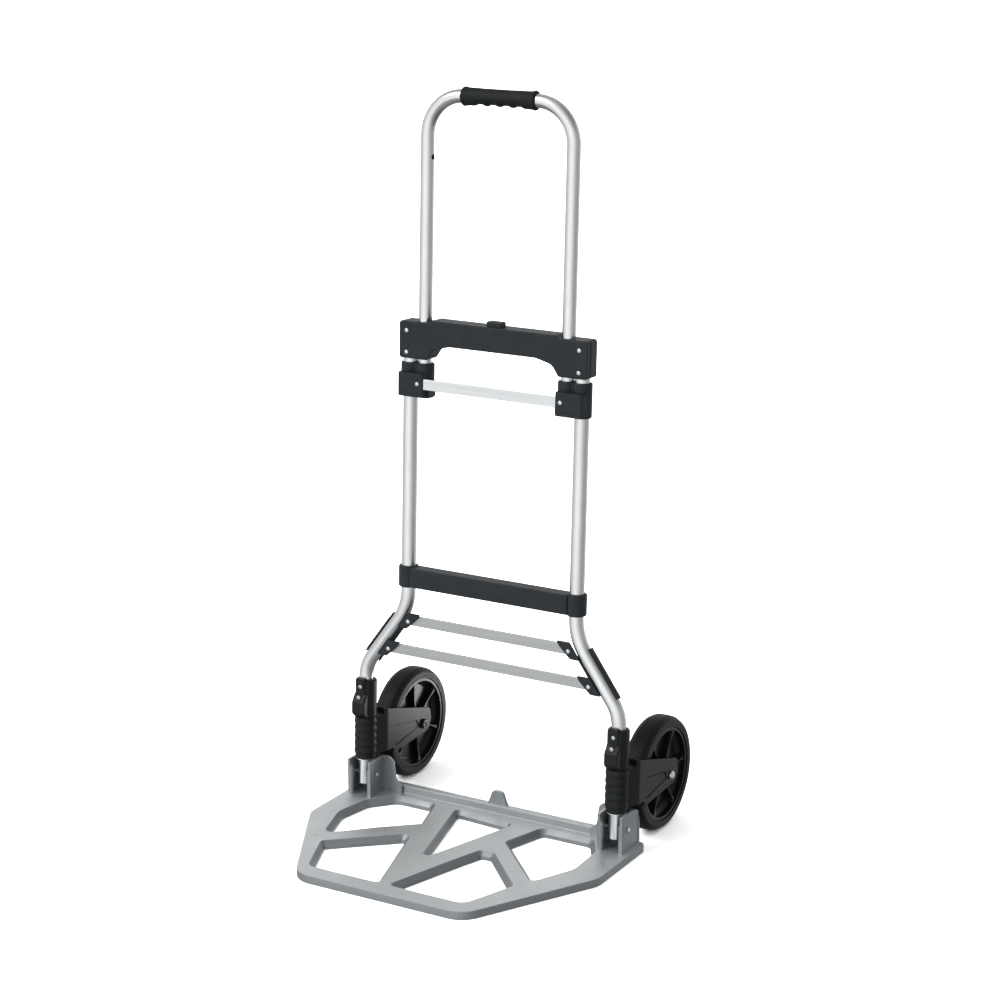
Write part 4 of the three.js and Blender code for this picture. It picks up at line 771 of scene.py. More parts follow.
def front_rounded(name, loop_at, front, back, radius, steps=4):
    """A prism along Y whose front edge is rounded, from a function that gives the loop at an inset."""
    turns = [math.pi / 2 * k / steps for k in range(steps + 1)]
    layers = [(radius * (1 - math.sin(t)), front + radius * (1 - math.cos(t))) for t in turns]
    if front > back:
        layers = [(inset, front - (level - front)) for inset, level in layers]
    layers.append((0.0, back))
    return skinned(name, [[(p[0], level, p[1]) for p in loop_at(inset)] for inset, level in layers])


# %% Bridge housing
COVER_THICKNESS = 4.0
SEAM = BRIDGE_REAR - COVER_THICKNESS
LOCK_HEIGHT = 742
PAST_BRIDGE = (690, 775)  # levels below and above the whole bridge, for cutters
SWELLING = 0.7 - BRIDGE_FRONT  # radius about the tube's axis: it stands 0.7 proud of the front
housing = front_rounded("bridge", bridge_outline, BRIDGE_FRONT, SEAM - 0.3, 1.8)
swellings = []
for side in SIDES.values():
    low, high = BRIDGE_BOTTOM + 1, BRIDGE_TOP - 1
    profile = rounded([(0, low), (SWELLING, low, 3), (SWELLING, high, 3), (0, high)], 4)
    swelling = turned("swelling", profile, "z", (side * HIGH_X, 0, 0), 96)
    back_half = box("back_half", (side * HIGH_X - 20, side * HIGH_X + 20), (-2, 20), PAST_BRIDGE)
    swellings.append(combine(swelling, [back_half]))
combine(housing, swellings, "UNION")
cutters = [
    box("button_hole", (-12.9, 12.9), (-8, 8), (LOCK_HEIGHT + 13, LOCK_HEIGHT + 28)),
    box("pocket", (-104, 104), (-7.8, SEAM + 1), (LOCK_HEIGHT - 11, LOCK_HEIGHT + 13.5)),
]
for side in SIDES.values():
    cutters += [
        rod("handle_bore", "z", HANDLE_RADIUS + 0.4, PAST_BRIDGE, (side * HANDLE_X, 0, 0)),
        rod("tube_socket", "z", TUBE_RADIUS + 0.3, (PAST_BRIDGE[0], TUBE_TOP + 0.3), (side * HIGH_X, 0, 0)),
    ]
combine(housing, cutters)
settle(housing, TUBE_SPACE, BLACK_MOULDING, "frame", "black_plastic", "bridge_housing")

# %% [markdown]
# The cover closes the bridge from behind. It has the same outline, rounded the other way, and a shallow
# panel sunk in its middle, as such covers have to keep them flat.

# %% Rear cover
SUNK_HALF = 92
SUNK_BOTTOM, SUNK_TOP = LOCK_HEIGHT - 9, LOCK_HEIGHT + 13
cover = front_rounded("bridge_cover", bridge_outline, BRIDGE_REAR, SEAM, 1.2)
panel = prism("panel", rounded([
    (-SUNK_HALF, SUNK_BOTTOM, 4), (SUNK_HALF, SUNK_BOTTOM, 4),
    (SUNK_HALF, SUNK_TOP, 4), (-SUNK_HALF, SUNK_TOP, 4),
], 4), (BRIDGE_REAR - 0.8, BRIDGE_REAR + 1), "xz")
combine(cover, [panel])
settle(cover, TUBE_SPACE, BLACK_MOULDING, "frame", "black_plastic", "bridge_rear_cover")

# %% [markdown]
# ## Release button
#
# The button stands in the middle of the bridge. Only its crowned head shows; the flange and the cam
# plate below it work the lock pins. Its edges are rounded well, so that a thumb slides off them easily.

# %% Button
BUTTON_LOW, BUTTON_HIGH = extent("release_button")
FLANGE_LEVELS = (LOCK_HEIGHT + 7, LOCK_HEIGHT + 10)
STUD_OFFSET = 12  # of a lock pin's stud from the middle
head = box("button_head", (-12.5, 12.5), (-7.6, 7.6), (FLANGE_LEVELS[1] - 1, BUTTON_HIGH.z))
bevel(head, 2.2, 5)
flange = box("flange", (BUTTON_LOW.x, BUTTON_HIGH.x), (-7.2, 1.5), FLANGE_LEVELS)
cam = box("cam", (BUTTON_LOW.x, BUTTON_HIGH.x), (-1.5, 1.5), (BUTTON_LOW.z, FLANGE_LEVELS[1]))
for side in SIDES.values():
    slot = box("slot", (-2.2, 2.2), (-5, 5), (-2.2, 9.3))
    bevel(slot, 2.1, 5)
    stud = Matrix.Translation((side * STUD_OFFSET, 0, LOCK_HEIGHT))
    combine(cam, [moved(slot, stud @ Matrix.Rotation(-side * math.pi / 4, 4, "Y"))])
button = gather("release_key", [head, flange, cam])
settle(button, TUBE_SPACE, BLACK_MOULDING, "release_button", "black_plastic", "release_button")

# %% [markdown]
# The lock pins and their springs sit out of sight in the bridge. Their solids already have the right
# shape, so they only get their finish.

# %% Lock parts
LOCK_NODES = ["button_spring", *(f"lock_{part}_{name}" for part in ("pin", "spring") for name in SIDES)]
for node in LOCK_NODES:
    frame["nodes"][node].data.materials.clear()
    frame["nodes"][node].data.materials.append(ZINC)
print("carried over:", LOCK_NODES)

# %% [markdown]
# ## The sliding handle
#
# One tube is bent twice and runs down through the bridge to the slider blocks. The lock pins enter the
# holes on its inner sides: one pair is hidden in the bridge, and the other shows high on the legs.

# %% Handle tube
HANDLE_TOP = extent("handle_tube")[1].z - HANDLE_RADIUS
HANDLE_END = extent("handle_tube")[0].z
HANDLE_TRAVEL = JOINTS["handle_slide"]["range_m"][1] * 1000
HANDLE_BEND = 58
LOCK_HOLE = 4.2
loop = bent_tube("handle_loop", [
    (-HANDLE_X, HANDLE_END, 0), (-HANDLE_X, HANDLE_TOP, HANDLE_BEND),
    (HANDLE_X, HANDLE_TOP, HANDLE_BEND), (HANDLE_X, HANDLE_END, 0),
], HANDLE_RADIUS, TUBE_WALL, 20)
combine(loop, [
    rod("lock_hole", "x", LOCK_HOLE, (-HANDLE_X, HANDLE_X), (0, 0, height), 32)
    for height in (LOCK_HEIGHT, LOCK_HEIGHT + HANDLE_TRAVEL)
])
settle(loop, TUBE_SPACE, TUBE_METAL, "handle", "aluminium_tube", "handle_tube")

# %% [markdown]
# ## The grip
#
# The grip is a rubber sleeve with a bead at each end and four finger grooves underneath. A cylinder with
# bumps would look stuck on, so the sleeve is one grid: the radius at each place is worked out from how
# far along the grip it is and how far round towards the fingers.

# %% Grip
GRIP_HALF = extent("grip")[1].x
BEAD = 0.9  # rise of the bead near each end
GRIP_RADIUS = extent("grip")[1].z - HANDLE_TOP - BEAD
GROOVE_PITCH = 21.0
GROOVE_DEPTH = 3.4
GROOVES = 4
GRIP_STATIONS = 160
GRIP_SIDES = 72


def grip_radius(x, down):
    """Radius at a place along the grip; down is 1 at the underside and 0 at the top."""
    reach = abs(x) / GROOVE_PITCH
    groove = 0.5 + 0.5 * math.cos(2 * math.pi * (x / GROOVE_PITCH - 0.5)) if reach < GROOVES / 2 else 0
    bead = BEAD * math.exp(-((GRIP_HALF - 3.5 - abs(x)) / 3.0) ** 2)
    end = max(0.0, abs(x) - (GRIP_HALF - 2.5)) / 2.5
    waist = 0.7 * (1 - (abs(x) / GRIP_HALF) ** 2)
    return GRIP_RADIUS - waist + bead - 1.8 * end ** 2 - GROOVE_DEPTH * groove * max(0.0, down) ** 1.5


def grip_ring(x, radius_at):
    """One ring round the handle's top, with its radius as a function of the angle."""
    angles = [2 * math.pi * k / GRIP_SIDES for k in range(GRIP_SIDES)]
    return [(x, radius_at(a) * math.cos(a), HANDLE_TOP + radius_at(a) * math.sin(a)) for a in angles]


def grip_sleeve():
    """Rings along the outside, and then back through the bore at both ends."""
    stations = [-GRIP_HALF + 2 * GRIP_HALF * k / GRIP_STATIONS for k in range(GRIP_STATIONS + 1)]
    rings = [grip_ring(x, lambda angle: grip_radius(x, -math.sin(angle))) for x in stations]
    bore = HANDLE_RADIUS + 0.25
    rings += [grip_ring(x, lambda angle: bore) for x in (stations[-1], stations[0])]
    return skinned("hand_grip", rings, closed=True)


settle(grip_sleeve(), TUBE_SPACE, GRIP_RUBBER, "handle", "grip_rubber", "grip")

# %% [markdown]
# ## Slider blocks
#
# A block on each handle leg runs on the frame tube beside it. Its upper part follows both tubes, so its
# outline is two touching circles, while the lower part is a square block in front that holds the flat
# bar, with a rounded heel on its inner side. A shallow line near the bottom of the front face is where
# the mould parts.

# %% Sliders
SLIDER_LOW, SLIDER_HIGH = extent("slider_right")
BOSS_RADIUS = 14.4
BLOCK_X = (110, 153)
BLOCK_TOP = SLIDER_LOW.z + 37
PAST_SLIDER = 750  # level above the whole block, for cutters
BAR_LOW, BAR_HIGH = extent("slider_bar")


def two_boss_outline(inset=0.0):
    """Two circles round the leg and the tube, with a filled waist between them."""
    radius = BOSS_RADIUS - inset
    half_gap = (HIGH_X - HANDLE_X) / 2
    waist = math.degrees(math.acos(half_gap / radius)) + 7
    outer = arc((HIGH_X, 0), radius, waist - 180, 180 - waist, 26)
    inner = arc((HANDLE_X, 0), radius, waist, 360 - waist, 26)
    return outer + inner


def slider_front():
    """The square block in front, with its mould line."""
    low, front = SLIDER_LOW.z, SLIDER_LOW.y
    block = prism("front", rounded([
        (BLOCK_X[0], front, 3.5), (BLOCK_X[1], front, 7), (BLOCK_X[1] + 4, 4, 3), (BLOCK_X[0] - 4, 4, 3),
    ], 5), (low + 2, BLOCK_TOP), "xy")
    bevel(block, 1.3, 3, 50)
    return combine(block, [box("line", (100, 160), (front - 1, front + 0.5), (low + 8, low + 9))])


def slider_heel():
    """The rounded heel on the inner side, which carries the end of the bar."""
    low, side = SLIDER_LOW.z, HANDLE_X - BOSS_RADIUS
    heel = prism("heel", rounded([
        (side, low + 4, 3), (side + 2, low, 2.5), (BLOCK_X[0] + 2, low),
        (BLOCK_X[0] + 2, low + 24), (side, low + 20, 3),
    ], 4), (-12, 8), "xz")
    return bevel(heel, 1.2)


def slider_block(name):
    """The right block: its three forms joined, and the slot and bores cut."""
    low, high = SLIDER_LOW.z, SLIDER_HIGH.z
    layers = [(2.0, low), (0.6, low + 0.6), (0, low + 2), (0, high - 2.4), (0.7, high - 0.7), (2.4, high)]
    block = skinned(name, [[(p.x, p.y, level) for p in two_boss_outline(inset)] for inset, level in layers])
    combine(block, [slider_front()], "UNION")
    combine(block, [slider_heel()], "UNION")
    gap = 0.3
    slot = box("slot", (95, BAR_HIGH.x + gap), (BAR_LOW.y - gap, BAR_HIGH.y + gap),
               (BAR_LOW.z - gap, BAR_HIGH.z + gap))
    tube_bore = rod("bore", "z", TUBE_RADIUS + 0.4, (600, PAST_SLIDER), (HIGH_X, 0, 0))
    leg_bore = rod("socket", "z", HANDLE_RADIUS + gap, (HANDLE_END - gap, PAST_SLIDER), (HANDLE_X, 0, 0))
    return combine(block, [slot, tube_bore, leg_bore])


settle_pair(slider_block("slider_block_right"), "slider_block", BLACK_MOULDING, "handle",
            "black_plastic", "slider")

# %% Slider bar
bar = box("slider_flat", (BAR_LOW.x, BAR_HIGH.x), (BAR_LOW.y, BAR_HIGH.y), (BAR_LOW.z, BAR_HIGH.z))
bevel(bar, 0.7, 3)
settle(bar, TUBE_SPACE, BAR_METAL, "handle", "aluminium_tube", "slider_bar")

# %% [markdown]
# ## The crossbar
#
# A moulded bar clamps round both tubes above their bends. Its front is a smooth face with rounded edges.
# Behind, it is an open channel stiffened by ribs, which a row of equal copies makes.

# %% Crossbar
CROSS_LOW, CROSS_HIGH = extent("lower_crossbar")
CLAMP_RADIUS = CROSS_HIGH.x - HIGH_X
BAR_BOTTOM = 356.5
BAR_TOP = 386.5
BAR_FRONT = -14.0
BAR_REAR = 9.0
SKIN = 3.0
RIB_CELLS = 9
RIB_HALF = 0.9


def crossbar():
    """The open channel with its clamps, and the row of ribs in it."""
    inner = HIGH_X - CLAMP_RADIUS
    low, high = CROSS_LOW.z, CROSS_HIGH.z
    trough_levels = (BAR_BOTTOM + SKIN, BAR_TOP - SKIN)
    bar = box("crossbar_body", (-HIGH_X + 9, HIGH_X - 9), (BAR_FRONT, BAR_REAR), (BAR_BOTTOM, BAR_TOP))
    bevel(bar, 1.6, 4)
    combine(bar, [box("trough", (-inner, inner), (BAR_FRONT + SKIN, BAR_REAR + 1), trough_levels)])
    clamp = rounded([(0, low), (CLAMP_RADIUS, low, 2.5), (CLAMP_RADIUS, high, 2.5), (0, high)], 4)
    centres = [(side * HIGH_X, 0, 0) for side in SIDES.values()]
    combine(bar, [turned("clamp", clamp, "z", centre, 72) for centre in centres], "UNION")
    combine(bar, [rod("bore", "z", TUBE_RADIUS + 0.15, (300, 450), centre, 64) for centre in centres])
    pitch = 2 * inner / RIB_CELLS
    first = -inner + pitch
    rib = box("rib", (first - RIB_HALF, first + RIB_HALF), (BAR_FRONT + SKIN - 0.5, BAR_REAR - 0.6),
              (BAR_BOTTOM + SKIN - 0.5, BAR_TOP - SKIN + 0.5))
    ribs = repeated("ribs", rib, RIB_CELLS - 1, BLACK_MOULDING, step=(pitch, 0, 0))
    return gather("crossbar", [bar, ribs])


settle(crossbar(), TUBE_SPACE, BLACK_MOULDING, "frame", "black_plastic", "lower_crossbar")
print("crossbar ribs:", RIB_CELLS - 1)

# %% [markdown]
# ## Saddles and struts
#
# A saddle hugs the back of each slanting tube, and two lugs on its inner edge carry the flat struts. It
# is drawn upright as a channel first, because an arc is easy to draw there, and is then turned to the
# slant. Fine teeth on its outer strip are one tooth, repeated.

# %% The slant of the lower tubes
SLANT_RUN = HUB_X - HIGH_X
SLANT_DROP = UPPER_BEND[0] - LOWER_BEND[0]
SLANT = math.atan2(SLANT_RUN, SLANT_DROP)
SLANT_LENGTH = math.hypot(SLANT_RUN, SLANT_DROP)
UPPER_TANGENT = UPPER_BEND[1] * math.tan(SLANT / 2)
LOWER_TANGENT = LOWER_BEND[1] * math.tan(SLANT / 2)
SHARE = (UPPER_TANGENT + SLANT_LENGTH - LOWER_TANGENT) / 2 / SLANT_LENGTH
SLANT_MIDDLE = (HIGH_X + SHARE * SLANT_RUN, UPPER_BEND[0] - SHARE * SLANT_DROP)
TO_SLANT = Matrix.Translation((SLANT_MIDDLE[0], 0, SLANT_MIDDLE[1])) @ Matrix.Rotation(-SLANT, 4, "Y")


def slant_x(height):
    """Distance of the slanting tube's axis from the middle of the truck."""
    return HIGH_X + (UPPER_BEND[0] - height) * SLANT_RUN / SLANT_DROP


print("slant:", round(math.degrees(SLANT), 1), "degrees")

# %% Saddles
SADDLE_RADIUS = 14.0
SADDLE_HALF = (SLANT_LENGTH - UPPER_TANGENT - LOWER_TANGENT) / 2 - 1.3
LUG_FRONT = -11.2
LUG_BACK = -8.2
LUG_REACH = 17.0
LUG_RISE = 11.5  # of a lug's top above its strut's middle
LUG_HEIGHT = 25.0
TIP_REACH = 5.5  # of the channel past the straight stretch, at its top
LUG_SIDE = SADDLE_RADIUS * math.cos(math.radians(42)) / math.cos(SLANT)
TEETH = 20
STRUT_LEVELS = [sum(extent(node)[i].z for i in (0, 1)) / 2 for node in ("upper_strut", "lower_strut")]


def lug(centre):
    """A flat ear: pointed at its upper tip, rounded below, with a hollow under the tip."""
    top = centre + LUG_RISE
    bottom = top - LUG_HEIGHT
    side_top = slant_x(top) - LUG_SIDE
    side_bottom = slant_x(bottom) - LUG_SIDE
    ear = prism("ear", rounded([
        (side_top + 3, top), (side_top - LUG_REACH - 1, top, 1), (side_top - LUG_REACH + 3, top - 7, 6),
        (side_bottom - LUG_REACH + 4, bottom, 5), (side_bottom + 3, bottom),
    ], 6), (LUG_FRONT, LUG_BACK), "xz")
    return bevel(ear, 0.5, 2)


def saddle():
    """The right saddle: a channel with two lugs, cut to the tube, and its teeth."""
    bore = TUBE_RADIUS + 0.3
    section = arc((0, 0), SADDLE_RADIUS, -20, 222, 44) + arc((0, 0), bore - 0.05, 222, -20, 44)
    channel = prism("channel", section, (-SADDLE_HALF - 2, SADDLE_HALF + TIP_REACH), "xy")
    bevel(channel, 0.7, 3, 50)
    moved(channel, TO_SLANT)
    combine(channel, [lug(level) for level in STRUT_LEVELS], "UNION")
    tube = moved(rod("tube", "z", bore, (-90, 90), sides=64), TO_SLANT)
    foot = STRUT_LEVELS[1] + LUG_RISE - LUG_HEIGHT
    below_lug = box("below_lug", (slant_x(foot) - 40, slant_x(foot - 30)), (-30, 3), (foot - 40, foot))
    combine(channel, [tube, below_lug])
    pitch = (2 * SADDLE_HALF - 8) / TEETH
    tooth_arc = arc((0, 0), SADDLE_RADIUS + 0.5, -17, 12, 6) + arc((0, 0), SADDLE_RADIUS - 0.6, 12, -17, 6)
    tooth = prism("tooth", tooth_arc, (-SADDLE_HALF + 4, -SADDLE_HALF + 4 + pitch * 0.5), "xy")
    teeth = repeated("teeth", tooth, TEETH, BLACK_MOULDING, step=(0, 0, pitch))
    return gather("saddle_right", [channel, moved(teeth, TO_SLANT)])


settle_pair(saddle(), "saddle", BLACK_MOULDING, "frame", "black_plastic", "strut_bracket")

# %% [markdown]
# The struts are flat aluminium bars, cut at their ends to follow the tubes. A small bevel gives each long
# edge the bright line that drawn bar has.

# %% Struts
for node in ("upper_strut", "lower_strut"):
    low, high = extent(node)
    clear = (TUBE_RADIUS + 1) / math.cos(SLANT)
    strut = prism(f"{node}_bar", mirrored([
        (slant_x(low.z) - clear, low.z), (slant_x(high.z) - clear, high.z),
    ]), (low.y, high.y), "xz")
    bevel(strut, 0.6, 3)
    space_for_saddle = [rod("space", "z", SADDLE_RADIUS + 0.4, (-90, 90), sides=48) for _ in SIDES]
    moved(space_for_saddle[0], TO_SLANT)
    moved(space_for_saddle[1], MIRROR @ TO_SLANT)
    combine(strut, space_for_saddle)
    settle(strut, TUBE_SPACE, STRUT_METAL, "frame", "aluminium_tube", node)

# %% [markdown]
# ## Collars
#
# A collar above each fork keeps it on the tube. It is a sleeve with a chamfered top. A boss in front is
# thick enough for the lower screw and a flat pad above it for the upper one, and the heads of both sit
# in round recesses.

# %% Collars
COLLAR_LOW, COLLAR_HIGH = extent("collar_right")
COLLAR_RADIUS = COLLAR_HIGH.x - HUB_X - 1
COLLAR_TOP = COLLAR_HIGH.z - 4
BOSS_FRONT = COLLAR_LOW.y
BOSS_TOP = COLLAR_LOW.z + 39
BOSS_HALF = 11
PAD_HALF = 7
SCREW_HEAD = 3.4
COLLAR_SCREWS = [(COLLAR_LOW.z + 33, BOSS_FRONT + 4), (COLLAR_LOW.z + 49, -COLLAR_RADIUS + 0.6)]


def collar(name, side):
    """Sleeve, boss and pad in one, with the bore and the screw recesses."""
    x = side * HUB_X
    sleeve = turned(name, rounded([
        (0, COLLAR_LOW.z), (COLLAR_RADIUS, COLLAR_LOW.z, 0.8), (COLLAR_RADIUS, COLLAR_TOP - 2.4, 1.2),
        (COLLAR_RADIUS - 2.2, COLLAR_TOP, 0.8), (0, COLLAR_TOP),
    ], 4), "z", (x, 0, 0), 72)
    boss = prism("boss", rounded([
        (0, COLLAR_LOW.z + 0.5), (0, BOSS_TOP), (-COLLAR_RADIUS + 1, BOSS_TOP, 2),
        (BOSS_FRONT, BOSS_TOP - 13, 6), (BOSS_FRONT, COLLAR_LOW.z + 8, 5),
        (-COLLAR_RADIUS, COLLAR_LOW.z + 0.5),
    ], 6), (x - BOSS_HALF, x + BOSS_HALF), "yz")
    bevel(boss, 2.6, 4, 50)
    pad_levels = (BOSS_TOP - 6, COLLAR_TOP + 2.5)
    pad = box("pad", (x - PAD_HALF, x + PAD_HALF), (-COLLAR_RADIUS - 0.9, 0), pad_levels)
    bevel(pad, 1.2, 3)
    combine(sleeve, [boss, pad], "UNION")
    cutters = [rod("bore", "z", TUBE_RADIUS + 0.3, (100, 230), (x, 0, 0), 64)]
    for height, seat in COLLAR_SCREWS:
        cutters.append(rod("recess", "y", SCREW_HEAD + 0.5, (-40, seat), (x, 0, height), 32))
        cutters.append(rod("shank_hole", "y", 2.2, (-40, 0), (x, 0, height), 16))
    return combine(sleeve, cutters)


for name, side in SIDES.items():
    settle(collar(f"fork_collar_{name}", side), TUBE_SPACE, FORK_MOULDING, "frame", "black_plastic",
           f"collar_{name}")
print("collar radius:", round(COLLAR_RADIUS, 1))

# %% [markdown]
# ## Rivets and screws
#
# Rivets hold the bridge, the struts and the slider bar, and screws hold the collars and the crossbar. A
# rivet has a low dome with a thin rim in front and a flat closed end behind. A screw head is a pan with
# a cross in it. Each is drawn once, facing along Z, and the fastener tree sets it at its places.

# %% Heads
RIVET_HEAD = 3.4
RIVET_RISE = 1.6
TAIL_RISE = 1.05
SCREW_RISE = 2.2


def rivet_dome():
    """The front of a rivet."""
    profile = [(0, -0.1), (RIVET_HEAD, -0.1), (RIVET_HEAD, 0.35)]
    for angle in (0.25, 0.6, 0.95, 1.25):
        profile.append((3.3 * math.cos(angle), 0.4 + (RIVET_RISE - 0.4) * math.sin(angle)))
    return turned("rivet_dome", profile + [(0, RIVET_RISE)], "z", sides=28)


def rivet_tail():
    """The closed end of a rivet."""
    profile = [(0, -0.1), (RIVET_HEAD, -0.1), (RIVET_HEAD, TAIL_RISE, 0.4), (0, TAIL_RISE)]
    return turned("rivet_tail", rounded(profile, 3), "z", sides=24)


def screw_head():
    """A pan with a cross, and a short shank that goes into the recess."""
    rise = SCREW_RISE
    pan = turned("screw_head", rounded([
        (0, -4), (1.9, -4), (1.9, -0.1), (SCREW_HEAD, -0.1), (SCREW_HEAD, 1.1, 0.3),
        (2.7, rise, 1.2), (0, rise),
    ], 4), "z", sides=32)
    cross = [box("cross", (-w, w), (-d, d), (0.9, 4)) for w, d in ((0.55, 2.1), (2.1, 0.55))]
    return combine(pan, cross)


# %% Where they go
FRONT, BEHIND = (0, -1, 0), (0, 1, 0)
bridge_places = [(side * HIGH_X, BRIDGE_BOTTOM + rise) for side in SIDES.values() for rise in (9, 41)]
strut_places = [
    (side * (slant_x(level) - LUG_SIDE - LUG_REACH / 2 + 2), level - 2)
    for side in SIDES.values() for level in STRUT_LEVELS
]
slider_places = [(side * HANDLE_X, (BAR_LOW.z + BAR_HIGH.z) / 2) for side in SIDES.values()]
STRUT_BACK = extent("upper_strut")[1].y


def rivets(name, body, rows, *nodes):
    """Front domes and closed ends for rows of (places, front level, back level)."""
    fronts = [((x, front, z), FRONT) for places, front, _ in rows for x, z in places]
    backs = [((x, back, z), BEHIND) for places, _, back in rows for x, z in places]
    dome = rivet_dome()
    tail = rivet_tail()
    heads = [fastened("domes", dome, fronts, HEAD_METAL), fastened("tails", tail, backs, HEAD_METAL)]
    for model in (dome, tail):
        bpy.data.objects.remove(model)
    return settle(gather(name, heads), TUBE_SPACE, HEAD_METAL, body, "zinc_steel", *nodes)


frame_rows = [(bridge_places, BRIDGE_FRONT, BRIDGE_REAR), (strut_places, LUG_FRONT, STRUT_BACK)]
rivets("frame_rivets", "frame", frame_rows, *[
    f"{kind}_rivet_{level}_{name}"
    for kind in ("bridge", "strut") for level in ("upper", "lower") for name in SIDES
])
rivets("handle_rivets", "handle", [(slider_places, SLIDER_LOW.y, SLIDER_HIGH.y)],
       *[f"slider_rivet_{name}" for name in SIDES])

screw_places = [
    ((side * HUB_X, seat, height), FRONT) for side in SIDES.values() for height, seat in COLLAR_SCREWS
]
CROSS_SCREW_LOW, CROSS_SCREW_HIGH = extent("crossbar_screw_right")
screw_places += [
    ((side * HIGH_X, CROSS_SCREW_HIGH.y - SCREW_RISE, (CROSS_SCREW_LOW.z + CROSS_SCREW_HIGH.z) / 2), BEHIND)
    for side in SIDES.values()
]
head = screw_head()
screws = fastened("frame_screws", head, screw_places, HEAD_METAL)
bpy.data.objects.remove(head)
settle(screws, TUBE_SPACE, HEAD_METAL, "frame", "zinc_steel", *[
    f"collar_screw_{level}_{name}" for level in ("upper", "lower") for name in SIDES
], *[f"crossbar_screw_{name}" for name in SIDES])
print("rivets:", len(bridge_places + strut_places + slider_places), "screws:", len(screw_places))

# %% [markdown]
# ## Wheel forks
#
# A fork is one moulding: a waved barrel that turns on the tube and two arms that straddle the wheel. The
# arms are where a plan and a side profile meet, so two outlines are intersected. That gives the tapered
# yoke at once. A panel with a deeper groove round it is sunk into each outer face, as on many moulded
# arms, to keep the wall even.

# %% Fork sizes
FORK_LOW, FORK_HIGH = extent("wheel_fork_right")
FORK_HALF = FORK_HIGH.x - HUB_X
ARM = 4.0
YOKE_BACK = 36.0
CLEAR_BOTTOM = 77.4  # the barrel's side of the fork clears the plate's brackets
CLEAR_RADIUS = 41.0
ARM_TOP_FRONT = 152
ARM_TOP_BACK = 113
ARM_PANEL_FRONT = 48
ARM_PANEL_FOOT = 78.5
GROOVE_WIDTH = 1.5
BARREL_BOTTOM = extent("fork_washer_right")[1].z + 0.3
BARREL_TOP = COLLAR_LOW.z - 0.4
BARREL_RADIUS = 17.6
WAVE_DEPTH = 0.7
WAVES = 5
WAVE_STEPS = 60
AXLE_HOLE = 4.3
BOLT_LOW, BOLT_HIGH = extent("axle_bolt_right")
AXLE_BACK = (BOLT_LOW.y + BOLT_HIGH.y) / 2
AXLE_HEIGHT = (BOLT_LOW.z + BOLT_HIGH.z) / 2
ARM_END = AXLE_BACK + 25
BOSS_SWEEP = math.hypot(BOSS_FRONT, BOSS_HALF) + 0.8  # of the collar's boss, as the fork turns below it
print("axle:", round(AXLE_BACK, 1), "behind the tube,", round(AXLE_HEIGHT, 1), "up")


# %% Barrel
def barrel():
    """The waved sleeve that turns on the tube."""
    waves = []
    pitch = (BARREL_TOP - CLEAR_BOTTOM) / WAVES
    for k in range(WAVE_STEPS + 1):
        share = k / WAVE_STEPS
        height = CLEAR_BOTTOM + 0.6 + (BARREL_TOP - CLEAR_BOTTOM - 1.2) * share
        wave = 0.5 + 0.5 * math.cos(2 * math.pi * ((height - CLEAR_BOTTOM) / pitch - 0.4))
        waves.append((BARREL_RADIUS - WAVE_DEPTH * (1 - wave), height))
    profile = [(0, BARREL_BOTTOM), (15.2, BARREL_BOTTOM), (16, BARREL_BOTTOM + 0.8), (16, CLEAR_BOTTOM)]
    profile += waves + [(BARREL_RADIUS - 1.6, BARREL_TOP), (0, BARREL_TOP)]
    return turned("barrel", profile, "z", sides=72)


# %% Arms
def panel_outline(shrink):
    """The sunk panel of an arm's face, smaller by a margin all round."""
    return rounded([
        (ARM_PANEL_FRONT + shrink, ARM_PANEL_FOOT + 1.2 * shrink, 2),
        (AXLE_BACK - 11 - 1.6 * shrink, AXLE_HEIGHT - 1.5, 3),
        (AXLE_BACK - 18.5 - shrink, AXLE_HEIGHT + 11 - 1.2 * shrink, 4),
        (ARM_PANEL_FRONT + shrink, ARM_TOP_BACK - 1.2 * shrink, 2),
    ], 4)


def fork_arms():
    """The tapered yoke with its two arms, each with a sunk panel and the groove round it."""
    inner = FORK_HALF - ARM
    half_plan = [
        (16, 0), (FORK_HALF, 24, 14), (FORK_HALF, ARM_END), (inner, ARM_END), (inner, YOKE_BACK, 8),
    ]
    plan = prism("plan", rounded(mirrored(half_plan), 8), (60, 160), "xy")
    profile = prism("profile", rounded([
        (0, CLEAR_BOTTOM), (CLEAR_RADIUS, CLEAR_BOTTOM, 2), (CLEAR_RADIUS + 3, FORK_LOW.z, 3),
        (ARM_END - 10, FORK_LOW.z + 9, 12), (ARM_END, AXLE_HEIGHT + 1, 10),
        (ARM_END - 4, ARM_TOP_BACK, 9), (0, ARM_TOP_FRONT),
    ], 8), (-40, 40), "yz")
    arms = combine(plan, [profile], "INTERSECT")
    bevel(arms, 0.9, 3, 40)
    cutters = []
    for side in SIDES.values():
        faces = sorted((side * (FORK_HALF - 0.7), side * (FORK_HALF + 2)))
        cutters.append(prism("panel", panel_outline(0), faces, "yz"))
    combine(arms, cutters)
    grooves = []
    for side in SIDES.values():
        deep = sorted((side * (FORK_HALF - 2.0), side * (FORK_HALF + 2)))
        groove = prism("groove", panel_outline(0), deep, "yz")
        core = prism("core", panel_outline(GROOVE_WIDTH), (deep[0] - 1, deep[1] + 1), "yz")
        grooves.append(combine(groove, [core]))
    return combine(arms, grooves)


